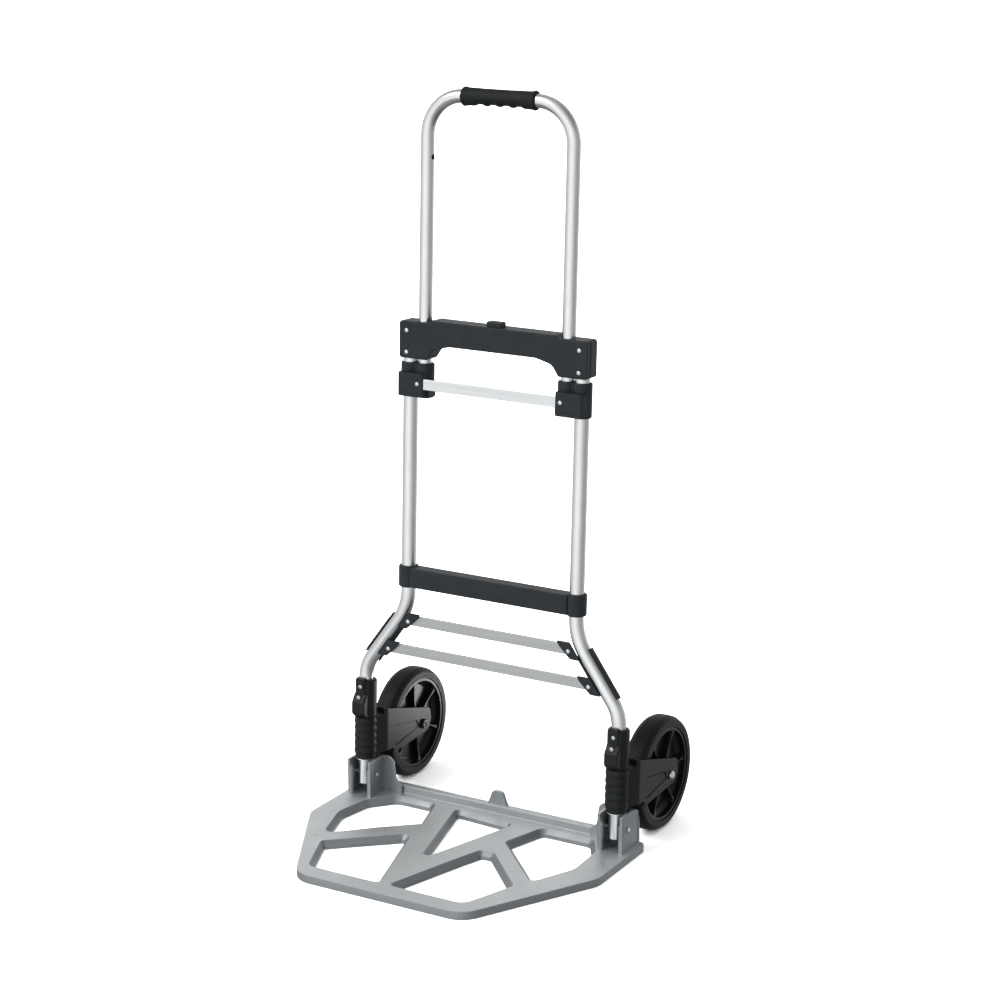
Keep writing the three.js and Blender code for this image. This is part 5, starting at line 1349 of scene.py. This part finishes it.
# %% Forks
def wheel_fork():
    """Arms and barrel in one, with the bore, the room for the collar's boss and the axle hole."""
    fork = combine(fork_arms(), [barrel()], "UNION")
    return combine(fork, [
        rod("bore", "z", TUBE_RADIUS + 0.4, (50, 170), sides=64),
        rod("collar_space", "z", BOSS_SWEEP, (BARREL_TOP, 170), sides=72),
        rod("axle_hole", "x", AXLE_HOLE, (-40, 40), (0, AXLE_BACK, AXLE_HEIGHT), 32),
    ])


right_fork = wheel_fork()
left_fork = copied(right_fork, "swivel_fork_left", Matrix.Translation((-HUB_X, 0, 0)))
moved(right_fork, Matrix.Translation((HUB_X, 0, 0)))
right_fork.name = "swivel_fork_right"
settle(right_fork, TUBE_SPACE, FORK_MOULDING, "fork_right", "black_plastic", "wheel_fork_right")
settle(left_fork, TUBE_SPACE, FORK_MOULDING, "fork_left", "black_plastic", "wheel_fork_left")

# %% Fork washers
for name, side in SIDES.items():
    low, high = extent(f"fork_washer_{name}")
    outer = high.x - side * HUB_X
    washer = turned(f"thrust_washer_{name}", rounded([
        (TUBE_RADIUS + 0.3, low.z), (outer, low.z, 0.4), (outer, high.z, 0.4), (TUBE_RADIUS + 0.3, high.z),
    ], 3), "z", (side * HUB_X, 0, 0), 64)
    settle(washer, TUBE_SPACE, ZINC, "frame", "zinc_steel", f"fork_washer_{name}")

# %% [markdown]
# ## Axles
#
# Each wheel hangs on a bolt with a domed head outside, and a black cap nut with a cross in it inside.

# %% Axle bolts and caps
for name, side in SIDES.items():
    low, high = extent(f"axle_bolt_{name}")
    outer = side * (high.x if side > 0 else low.x)
    inner = side * (low.x if side > 0 else high.x)
    seat = outer - 4.5
    centre = (0, AXLE_BACK, AXLE_HEIGHT)
    profile = rounded([
        (0, inner), (4, inner, 0.5), (4, seat), (6.5, seat, 0.3), (6.5, seat + 2.2, 0.6),
        (5.2, outer - 0.6, 1.4), (2.6, outer, 1.2), (0, outer),
    ], 4)
    profile = [(radius, side * along) for radius, along in profile]
    bolt = turned(f"wheel_axle_{name}", profile, "x", centre, 48)
    settle(bolt, TUBE_SPACE, ZINC, f"fork_{name}", "zinc_steel", f"axle_bolt_{name}")

    low, high = extent(f"axle_nut_{name}")
    foot = high.x if side > 0 else low.x
    tip = low.x if side > 0 else high.x
    cap = turned(f"axle_cap_{name}", rounded([
        (0, foot), (8, foot, 0.3), (8, tip + side * 1.4, 1.1), (6.6, tip, 0.6), (0, tip),
    ], 4), "x", centre, 48)
    socket = rod("socket", "x", AXLE_HOLE, sorted((foot + side, foot - side * 3.3)), centre, 24)
    cross = []
    for turn in (math.pi / 4, -math.pi / 4):
        bar_cut = box("cross", sorted((tip - side, tip + side * 1.2)), (-5.2, 5.2), (-1.1, 1.1))
        cross.append(moved(bar_cut, Matrix.Translation(centre) @ Matrix.Rotation(turn, 4, "X")))
    combine(cap, [socket, *cross])
    settle(cap, TUBE_SPACE, RIM_MOULDING, f"fork_{name}", "black_plastic", f"axle_nut_{name}")

# %% [markdown]
# ## Wheels
#
# A wheel is a solid rubber tyre on a moulded rim. The tyre is one turned profile with full shoulders and
# a fine crease in each sidewall. The rim's band has a raised lip, a thin disc closes it in the middle,
# and six thin spokes stiffen the disc on both faces: one is drawn and turned about the axle by the
# copies tree.

# %% Wheel sizes
TYRE_LOW, TYRE_HIGH = extent("tyre_right")
TYRE_HALF = (TYRE_HIGH.x - TYRE_LOW.x) / 2
WHEEL_RADIUS = (TYRE_HIGH.z - TYRE_LOW.z) / 2
TYRE_SEAT = 71.0
CREASE = 75.0  # radius of the fine crease in a sidewall
RIM_OPENING = 65.5
RIM_HALF = 16.6
HUB_HALF = (extent("wheel_rim_right")[1].x - extent("wheel_rim_right")[0].x) / 2
HUB_RADIUS = 15
HUB_BORE = 6
BEARING_RADIUS = 11
BEARING_DEPTH = 7
SPOKES = 6
SPOKE_FOOT = 12
SPOKE_STEPS = 16
SPOKE_PHASE = {"left": 52, "right": 25}  # degrees from upright
DISC_HALF = 2.0
print("wheel diameter:", round(2 * WHEEL_RADIUS, 1), "mm")


# %% Tyres
def tyre(name, centre):
    """Full shoulders, and a crease in each sidewall beside the rim."""
    half, radius = TYRE_HALF, WHEEL_RADIUS
    flank = [
        (TYRE_SEAT, half, 0.6), (CREASE - 0.4, half, 0.4), (CREASE, half - 0.5, 0.3),
        (CREASE + 0.4, half, 0.4), (radius - 5.2, half, 4.5), (radius - 0.6, half - 8.5, 6),
    ]
    other = [(r, -along, rounding) for r, along, rounding in reversed(flank)]
    return turned(name, rounded([*flank, (radius, 0, 60), *other], 6), "x", centre, 128)


# %% Spokes
def spoke():
    """One spoke standing up from the hub: thin, flared into the band and the hub, and hollowed in width."""
    across = (-1, -0.86, 0.86, 1)
    section = [(x, -1) for x in across] + [(x, 1) for x in reversed(across)]
    loops = []
    for k in range(SPOKE_STEPS + 1):
        share = k / SPOKE_STEPS
        height = SPOKE_FOOT + (RIM_OPENING + 1.2 - SPOKE_FOOT) * share
        flare = 4.5 * max(0, (share - 0.74) / 0.26) ** 2 + 2.5 * max(0, (0.22 - share) / 0.22) ** 2
        thick, wide = 1.3 + flare, 14.2 - 2.2 * math.sin(math.pi * share)
        loops.append([(x * wide, y * thick * (0.62 if abs(x) == 1 else 1), height) for x, y in section])
    return skinned("spoke", loops)


# %% Rims
def rim_band(name):
    """The band under the tyre, with a raised lip on both sides."""
    lip, half, seat = RIM_OPENING + 0.8, RIM_HALF, TYRE_SEAT - 0.3
    return turned(name, rounded([
        (RIM_OPENING + 0.4, -half + 1.6, 0.6), (lip, -half, 0.7), (seat, -half, 0.5),
        (seat, half, 0.5), (lip, half, 0.7), (RIM_OPENING + 0.4, half - 1.6, 0.6),
        (RIM_OPENING + 1.6, half - 4, 1), (RIM_OPENING + 1.6, -half + 4, 1),
    ], 4), "x", sides=128)


def rim_hub():
    """The hub with its bore and a seat for each bearing."""
    half = HUB_HALF
    hub = turned("hub", rounded([
        (0, -half), (13.2, -half, 0.8), (HUB_RADIUS, -half + 3, 2), (HUB_RADIUS, half - 3, 2),
        (13.2, half, 0.8), (0, half),
    ], 4), "x", sides=64)
    cutters = [rod("bore", "x", HUB_BORE, (-30, 30), sides=32)]
    for end in (-1, 1):
        span = sorted((end * (half - BEARING_DEPTH - 0.3), end * 30))
        cutters.append(rod("seat", "x", BEARING_RADIUS + 0.3, span, sides=48))
    return combine(hub, cutters)


def rim_disc():
    """The thin disc in the middle, thicker where it meets the band."""
    edge, foot, half = RIM_OPENING + 1.5, RIM_OPENING - 6, DISC_HALF
    disc = turned("disc", rounded([
        (0, -half), (foot, -half, 4), (edge, -half - 5), (edge, half + 5), (foot, half, 4), (0, half),
    ], 4), "x", sides=128)
    return combine(disc, [rod("bore", "x", HUB_BORE, (-30, 30), sides=32)])


def rim(name, phase):
    """Band, disc, hub and spokes in one, turned by the phase."""
    band, hub = rim_band(name), rim_hub()
    blades = repeated("blades", spoke(), SPOKES, RIM_MOULDING, turn=(-2 * math.pi / SPOKES, 0, 0))
    moved(blades, Matrix.Rotation(-math.radians(phase), 4, "X"))
    return combine(band, [rim_disc(), hub, blades], "UNION")


for name, side in SIDES.items():
    centre = (side * HUB_X, AXLE_BACK, AXLE_HEIGHT)
    settle(tyre(f"wheel_tyre_{name}", centre), TUBE_SPACE, TYRE_RUBBER, f"wheel_{name}", "tyre_rubber",
           f"tyre_{name}")
    wheel = moved(rim(f"spoked_rim_{name}", SPOKE_PHASE[name]), Matrix.Translation(centre))
    settle(wheel, TUBE_SPACE, RIM_MOULDING, f"wheel_{name}", "black_plastic", f"wheel_rim_{name}")

# %% [markdown]
# A ball bearing shows two rings and a shield between them, so its profile has a shallow groove.

# %% Bearings
for name, side in SIDES.items():
    centre = (side * HUB_X, AXLE_BACK, AXLE_HEIGHT)
    bearings = []
    for end in (-1, 1):
        outer, inner = end * HUB_HALF, end * (HUB_HALF - BEARING_DEPTH)
        shield, chamfer = outer - end * 0.7, outer - end * 0.4
        profile = [
            (AXLE_HOLE, inner), (BEARING_RADIUS, inner), (BEARING_RADIUS, chamfer), (10.6, outer),
            (8.9, outer), (8.7, shield), (6.4, shield), (6.2, outer), (4.7, outer), (AXLE_HOLE, chamfer),
        ]
        bearings.append(turned("bearing", profile, "x", centre, 48))
    pair = gather(f"ball_bearings_{name}", bearings)
    settle(pair, TUBE_SPACE, ZINC, f"wheel_{name}", "zinc_steel",
           f"bearing_inner_{name}", f"bearing_outer_{name}")

# %% [markdown]
# ## The toe plate
#
# The plate is one casting with five windows between its ribs. Its outline and the windows are loops of
# rounded corners. Each window's wall flares towards the top face, as a casting needs to leave its mould,
# so the walls are drawn as rings at several insets. The two flat faces are filled between the loops.

# %% Plate outlines
PLATE_LOW, PLATE_HIGH = extent("toe_plate", LEVEL_SPACE)
PLATE_THICKNESS = 13.0
PLATE_HALF = PLATE_HIGH.x
PLATE_REAR = PLATE_HIGH.y
PLATE_HALF_LOOP = [(139, PLATE_LOW.y, 40), (PLATE_HALF, -107, 40), (PLATE_HALF, PLATE_REAR, 8)]
WINDOWS = {
    "rear_left": [
        (-74, -62, 9), (-97, 14, 14), (-166, 14, 26), (-200, -25, 26),
        (-210, -85, 40), (-184, -167, 11), (-125, -107, 60),
    ],
    "front_left": [(-171, -191, 8), (-68, -101, 12), (-14, -275, 9), (-137, -275, 16)],
    "middle": [(-62, 13, 9), (46, 5, 10), (-10, -180, 8)],
    "front_middle": [
        (-2, -275, 8), (36, -146, 30), (50, -103, 10), (72, -101, 10), (154, -188, 10), (123, -275, 20),
    ],
    "rear_right": [
        (66, -60, 9), (88, 14, 16), (176, 14, 20), (199, -26, 22), (201, -95, 40), (168, -166, 9),
    ],
}
print("plate:", round(2 * PLATE_HALF), "x", round(PLATE_REAR - PLATE_LOW.y), "mm, windows:", len(WINDOWS))


def drawn_in(corners, inset):
    """The corners of a closed outline with every side moved inwards; radii follow."""
    points = [Vector(corner[:2]) for corner in corners]
    count = len(points)
    area = sum(points[i - 1].x * points[i].y - points[i].x * points[i - 1].y for i in range(count))
    hand = 1 if area > 0 else -1
    result = []
    for i, corner in enumerate(corners):
        before = (points[i] - points[i - 1]).normalized()
        after = (points[(i + 1) % count] - points[i]).normalized()
        inwards = [Vector((-edge.y, edge.x)) * hand for edge in (before, after)]
        middle = (inwards[0] + inwards[1]).normalized()
        place = points[i] + middle * inset / middle.dot(inwards[0])
        convex = (before.x * after.y - before.y * after.x) * hand > 0
        radius = corner[2] - inset if convex else corner[2] + inset
        result.append((place.x, place.y, max(radius, 0.3)))
    return result


# %% Plate with its windows
def plate_slab():
    """The slab: outer wall and window walls as rings of (inset, level), and the faces between them."""
    top = PLATE_THICKNESS
    outer_rings = [(1.0, 0), (0.3, 0.3), (0, 1.0), (0, top - 1.6), (0.5, top - 0.5), (1.6, top)]
    window_rings = [(5.2, 0), (5.9, 0.3), (6.2, 1.0), (6.2, 6.2), (5.9, 6.9), (1.1, 11.8)]
    window_rings += [(0.35, top - 0.5), (-0.3, top)]
    points, faces, caps = [], [], {0: [], -1: []}

    def add_wall(corners, rings, steps):
        first = len(points)
        loops = [rounded(drawn_in(corners, inset), steps) for inset, _ in rings]
        size = len(loops[0])
        for loop, (_, level) in zip(loops, rings):
            points.extend((p.x, p.y, level) for p in loop)
        for row in range(len(rings) - 1):
            for i in range(size):
                j = (i + 1) % size
                a = first + row * size
                faces.append([a + i, a + j, a + size + j, a + size + i])
        caps[0].append([first + i for i in range(size)])
        caps[-1].append([first + (len(rings) - 1) * size + i for i in range(size)])

    add_wall(mirrored(PLATE_HALF_LOOP), outer_rings, 12)
    for corners in WINDOWS.values():
        add_wall(corners, window_rings, 10)
    for loops in caps.values():
        flat = [[Vector((points[i][0], points[i][1], 0)) for i in loop] for loop in loops]
        order = [i for loop in loops for i in loop]
        faces.extend([order[i] for i in triangle] for triangle in tessellate_polygon(flat))
    return mesh_piece("toe_casting", points, faces)


slab = plate_slab()

# %% [markdown]
# Behind the windows a rail stiffens the plate, with a foot tab in its middle and a fine line scored
# along its top.

# %% Rail and tab
PIVOT_Y = (PIVOT[1] - SWIVEL["pos_m"][1]) * 1000
CHEEK_GAP = 16.4
RIB_BASE = PLATE_THICKNESS - 2  # ribs start inside the slab, so that the union has no seam
RAIL_TOP = PLATE_THICKNESS + 12
SCORE = PLATE_REAR - 7.2
TAB_TOP = 47


def rail():
    """The rail with its scored line, and the tab."""
    reach = HUB_X - CHEEK_GAP
    beam = prism("rail", rounded([
        (PLATE_REAR - 20, RIB_BASE), (PLATE_REAR - 14.5, PLATE_THICKNESS + 0.5, 3),
        (PLATE_REAR - 12.5, RAIL_TOP, 2.6), (PLATE_REAR, RAIL_TOP, 2.2), (PLATE_REAR, RIB_BASE),
    ], 5), (-reach, reach), "yz")
    half_tab = [(10, TAB_TOP, 9), (12, TAB_TOP - 10, 12), (23, PLATE_THICKNESS - 1)]
    tab = prism("tab", rounded(mirrored(half_tab), 10), (PLATE_REAR - 8, PLATE_REAR - 2), "xz")
    bevel(tab, 1.4, 4, 40)
    line = box("line", (-reach + 30, reach - 30), (SCORE, SCORE + 0.8), (RAIL_TOP - 0.6, RAIL_TOP + 2))
    combine(line, [box("gap", (-24, 24), (SCORE - 0.3, PLATE_REAR), (RAIL_TOP - 2, RAIL_TOP + 3))])
    combine(beam, [line])
    return combine(beam, [tab], "UNION")


# %% [markdown]
# At each side a channel of two cheeks and a web holds the lower end of a tube. A gusset runs from it down
# to the rail, and the outer cheek goes on behind the web as a tail. A round bead stiffens the front edge
# of each cheek, and a shallow panel lightens its side.

# %% Bracket sizes
CHEEK_THICKNESS = 4.4
CHEEK_OUTER = CHEEK_GAP + CHEEK_THICKNESS
CHEEK_TOP = 70.0
CHEEK_TAIL = 13.0  # of an outer cheek behind the web
WEB = 4.0
BEAD_RADIUS = 4.2
BEAD_TOP = 61.0  # low enough to swing past the fork
PANEL_SINK = 0.9
BRACKET_FRONT = PIVOT_Y - 19
BRACKET_REAR = PIVOT_Y + 23.5


# %% Parts of a bracket
def gusset(x, side):
    """The web's wing towards the middle of the plate, falling to the rail."""
    foot = x - side * (CHEEK_OUTER + 32)
    wing = prism("gusset", rounded([
        (x - side * CHEEK_GAP, RIB_BASE), (x - side * CHEEK_GAP, CHEEK_TOP - 0.2),
        (x - side * (CHEEK_OUTER + 17), CHEEK_TOP - 0.2, 12),
        (x - side * (CHEEK_OUTER + 21), RAIL_TOP + 9, 14),
        (foot, RAIL_TOP, 3), (foot, RIB_BASE),
    ], 8), (BRACKET_REAR - WEB, BRACKET_REAR), "xz")
    return bevel(wing, 1.0, 3, 40)


def tail(x, side):
    """The outer cheek's way on behind the web."""
    rear, end = BRACKET_REAR, BRACKET_REAR + CHEEK_TAIL
    cheek = prism("tail", rounded([
        (rear - 6, RIB_BASE), (rear - 6, CHEEK_TOP - 1), (end - 5, CHEEK_TOP - 4, 5),
        (end, CHEEK_TOP - 24, 20), (end + 1, RIB_BASE),
    ], 6), sorted((x + side * CHEEK_GAP, x + side * CHEEK_OUTER)), "yz")
    return bevel(cheek, 1.0, 3, 40)


def bead(x, way):
    """The round front edge of one cheek, tapering at its top."""
    centre = (x + way * (CHEEK_OUTER - BEAD_RADIUS), BRACKET_FRONT + BEAD_RADIUS, 0)
    return turned("bead", rounded([
        (0, RIB_BASE), (BEAD_RADIUS, RIB_BASE), (BEAD_RADIUS, BEAD_TOP - 8, 5),
        (0.4, BEAD_TOP), (0, BEAD_TOP),
    ], 6), "z", centre, 40)


def cheek_panel(x, side, way):
    """The cutter for the panel in one cheek's side; on the outer cheek it takes in the tail."""
    start = BRACKET_FRONT + 2 * BEAD_RADIUS
    end = BRACKET_REAR + CHEEK_TAIL - 4 if way == side else BRACKET_REAR - WEB - 2
    reach = sorted((x + way * (CHEEK_OUTER - PANEL_SINK), x + way * (CHEEK_OUTER + 2)))
    foot = PLATE_THICKNESS + 3
    return prism("panel", rounded([
        (start, foot, 3), (end, foot, 3), (end, CHEEK_TOP - 9, 3), (start, CHEEK_TOP - 5, 3),
    ], 4), reach, "yz")


# %% Brackets
def bracket(side):
    """A block hollowed to a channel, with its tail, panels, gusset, beads and pin hole."""
    x = side * HUB_X
    block = (BRACKET_FRONT, BRACKET_REAR)
    channel = box("channel", (x - CHEEK_OUTER, x + CHEEK_OUTER), block, (RIB_BASE, CHEEK_TOP))
    bevel(channel, 1.2, 3)
    hollow = (BRACKET_FRONT - 5, BRACKET_REAR - WEB)
    slot = box("slot", (x - CHEEK_GAP, x + CHEEK_GAP), hollow, (PLATE_THICKNESS, 90))
    bevel(slot, 1.5, 3, 40)
    combine(channel, [slot])
    combine(channel, [tail(x, side)], "UNION")
    combine(channel, [cheek_panel(x, side, way) for way in (-1, 1)])
    combine(channel, [gusset(x, side), bead(x, -1), bead(x, 1)], "UNION")
    axis = (0, PIVOT_Y, PIVOT_HEIGHT)
    return combine(channel, [rod("pin_hole", "x", PIN_HOLE, (x - 40, x + 40), axis, 24)])


combine(slab, [rail(), bracket(1), bracket(-1)], "UNION")
print("slab with rail and brackets:", len(slab.data.polygons), "faces")

# %% [markdown]
# Ejector pins leave small round marks where ribs meet. One low disc is set at each of them, facing up.

# %% Ejector marks
MARKS = [(-189, -178), (-7, -211), (44, 13), (163, -181)]  # on the metal between the windows
mark = turned("mark", rounded([
    (0, -1), (3.4, -1), (3.4, 0.25, 0.15), (2.4, 0.25, 0.1), (2.2, 0.1), (0, 0.1),
], 2), sides=28)
marks = fastened("marks", mark, [((x, y, PLATE_THICKNESS), (0, 0, 1)) for x, y in MARKS], CASTING)
bpy.data.objects.remove(mark)
plate = gather("toe_plate_casting", [slab, marks])
settle(plate, LEVEL_SPACE, CASTING, "toe_plate", "cast_aluminium", "toe_plate")

# %% Pivot pins
for name, side in SIDES.items():
    seat = CHEEK_GAP + CHEEK_THICKNESS + 0.15
    pin = turned(f"hinge_pin_{name}", rounded([
        (0, -seat - 1.6), (2.6, -seat - 1.6, 1.2), (4.6, -seat, 0.3), (3, -seat + 0.2),
        (3, seat - 0.2), (4.6, seat, 0.3), (2.6, seat + 1.6, 1.2), (0, seat + 1.6),
    ], 4), "x", (side * HUB_X, PIVOT_Y, PIVOT_HEIGHT), 40)
    settle(pin, LEVEL_SPACE, ZINC, "toe_plate", "zinc_steel", f"pivot_pin_{name}")

# %% [markdown]
# ## Floor, light and camera
#
# The floor reads as white and keeps the soft shadow of the truck. A plain white floor would need more
# light than the truck should get. So the camera alone sees a brighter paper, whose shadows fade to white
# a little way from the wheels, while the truck is lit by light from a floor of ordinary white.

# %% White floor
def either_ray(nodes, links, *rays):
    """1 for any of the named kinds of ray, otherwise 0."""
    path = nodes.new("ShaderNodeLightPath")
    seen = path.outputs[rays[0]]
    for ray in rays[1:]:
        either = nodes.new("ShaderNodeMath")
        either.operation = "MAXIMUM"
        links.new(seen, either.inputs[0])
        links.new(path.outputs[ray], either.inputs[1])
        seen = either.outputs["Value"]
    return seen


def mixed(nodes, links, factor, low, high):
    """The first shader where the factor is 0, and the second where it is 1."""
    mix = nodes.new("ShaderNodeMixShader")
    links.new(factor, mix.inputs["Fac"])
    links.new(low, mix.inputs[1])
    links.new(high, mix.inputs[2])
    return mix.outputs["Shader"]


SEEN_FLOOR = 3.2  # brightness of the paper that the camera sees
floor = box("floor", (-40000, 40000), (-40000, 40000), (-12, -0.2))
floor.data.transform(MM)
floor.visible_glossy = False
material, shader = finish("white_floor", (0.8, 0.8, 0.8, 1), 0.9, specular=0.0)
nodes, links = material.node_tree.nodes, material.node_tree.links
seen = either_ray(nodes, links, "Is Camera Ray", "Is Transmission Ray")
paper = nodes.new("ShaderNodeBsdfDiffuse")
paper.inputs["Color"].default_value = (SEEN_FLOOR, SEEN_FLOOR, SEEN_FLOOR, 1)
surface = mixed(nodes, links, seen, shader.outputs["BSDF"], paper.outputs["BSDF"])
links.new(surface, nodes["Material Output"].inputs["Surface"])
floor.data.materials.append(material)
print("stage:", floor.name)

# %% [markdown]
# The world lights the truck evenly. The camera sees it as white, and so do reflections, but with the
# bright front and the darker right of a studio, because round tubes would look flat in a plain white room.

# %% The studio that metal reflects
WORLD_LIGHT = 0.45
STUDIO_ROUND = [  # degrees from the front towards the right, and brightness in reflections
    (-180, 1.0), (-140, 1.05), (-100, 0.8), (-68, 0.86), (-32, 1.32), (-5, 1.5), (20, 1.38), (50, 0.95),
    (78, 0.6), (106, 0.52), (128, 0.56), (150, 0.9), (180, 1.0),
]
STUDIO_UP = [  # height of the direction, and share of that brightness
    (-1, 0.3), (-0.55, 0.42), (-0.36, 0.95), (-0.1, 1.0), (0.3, 1.0), (0.6, 0.6), (1, 0.55),
]
HIGHEST = 2  # level that a curve can hold


# %% Sums and curves as nodes
def computed(nodes, links, operation, first, second):
    """One sum of the operation on a socket and a socket or a plain number."""
    node = nodes.new("ShaderNodeMath")
    node.operation = operation
    links.new(first, node.inputs[0])
    if isinstance(second, (int, float)):
        node.inputs[1].default_value = second
    else:
        links.new(second, node.inputs[1])
    return node.outputs["Value"]


def read_off(nodes, links, value, points):
    """The level of a curve through the points, at the value."""
    low, high = points[0][0], points[-1][0]
    share = nodes.new("ShaderNodeMapRange")
    share.inputs["From Min"].default_value = low
    share.inputs["From Max"].default_value = high
    levels = nodes.new("ShaderNodeFloatCurve")
    curve = levels.mapping.curves[0]
    for place, level in points[1:-1]:
        curve.points.new((place - low) / (high - low), level / HIGHEST)
    curve.points[0].location = (0, points[0][1] / HIGHEST)
    curve.points[-1].location = (1, points[-1][1] / HIGHEST)
    levels.mapping.update()
    links.new(value, share.inputs["Value"])
    links.new(share.outputs["Result"], levels.inputs["Value"])
    return computed(nodes, links, "MULTIPLY", levels.outputs["Value"], HIGHEST)


# %% World
world = bpy.data.worlds.new("studio")
bpy.context.scene.world = world
world.use_nodes = True
nodes, links = world.node_tree.nodes, world.node_tree.links
direction = nodes.new("ShaderNodeTexCoord")
split = nodes.new("ShaderNodeSeparateXYZ")
links.new(direction.outputs["Generated"], split.inputs["Vector"])
forwards = computed(nodes, links, "MULTIPLY", split.outputs["Y"], -1)
angle = computed(nodes, links, "ARCTAN2", split.outputs["X"], forwards)
degrees = computed(nodes, links, "MULTIPLY", angle, math.degrees(1))
around = read_off(nodes, links, degrees, STUDIO_ROUND)
upwards = read_off(nodes, links, split.outputs["Z"], STUDIO_UP)
rooms = [nodes["Background"], nodes.new("ShaderNodeBackground"), nodes.new("ShaderNodeBackground")]
for room in rooms:
    room.inputs["Color"].default_value = (1, 1, 1, 1)
soft, mirrored_room, white = rooms
soft.inputs["Strength"].default_value = WORLD_LIGHT
links.new(computed(nodes, links, "MULTIPLY", around, upwards), mirrored_room.inputs["Strength"])
reflected = either_ray(nodes, links, "Is Glossy Ray", "Is Transmission Ray")
lit = mixed(nodes, links, reflected, soft.outputs["Background"], mirrored_room.outputs["Background"])
camera_ray = either_ray(nodes, links, "Is Camera Ray")
surface = mixed(nodes, links, camera_ray, lit, white.outputs["Background"])
links.new(surface, nodes["World Output"].inputs["Surface"])
print("world:", world.name, "at a strength of", WORLD_LIGHT)

# %% [markdown]
# One wide, soft sun stands for a big lamp far away in front and to the left, so the floor is lit evenly
# and each wheel throws a soft shadow back to the right. A small lamp between the wheels lights the inner
# side of the left one, as a reflector would.

# %% Lamps
FILL_PLACE = Vector((0.0, 0.44, 0.05))
FILL_TARGET = Vector((-0.2, 0.2, 0.11))  # inner side of the left wheel


def lamp(name, kind, energy, source):
    """A lamp whose light comes from the direction of its source."""
    light = bpy.data.lights.new(name, kind)
    light.energy = energy
    holder = bpy.data.objects.new(name, light)
    holder.rotation_euler = source.to_track_quat("Z", "Y").to_euler()
    bpy.context.scene.collection.objects.link(holder)
    return holder


key = lamp("key", "SUN", 1.3, Vector((-0.55, -0.62, 0.75)))
key.data.angle = math.radians(35)
fill = lamp("fill", "SPOT", 5, FILL_PLACE - FILL_TARGET)
fill.location = FILL_PLACE
fill.visible_camera = False
fill.data.spot_size = math.radians(36)
fill.data.spot_blend = 1
fill.data.shadow_soft_size = 0.08
print("lamps:", key.name, fill.name)

# %% [markdown]
# The camera looks from the front right and a little from above, through a long lens, so that the tubes
# stay nearly parallel.

# %% Camera
AZIMUTH = math.radians(30.01)
ELEVATION = math.radians(15.51)
camera_data = bpy.data.cameras.new("camera")
camera_data.lens = 90.06
camera_data.sensor_width = 36
camera = bpy.data.objects.new("camera", camera_data)
camera.location = (1.7653, -2.9728, 1.4806)
backwards = Vector((
    math.sin(AZIMUTH) * math.cos(ELEVATION), -math.cos(AZIMUTH) * math.cos(ELEVATION), math.sin(ELEVATION),
))
camera.rotation_euler = backwards.to_track_quat("Z", "Y").to_euler()
bpy.context.scene.collection.objects.link(camera)
bpy.context.scene.camera = camera
bpy.context.scene.view_settings.view_transform = "Standard"
print("camera:", camera_data.lens, "mm lens")
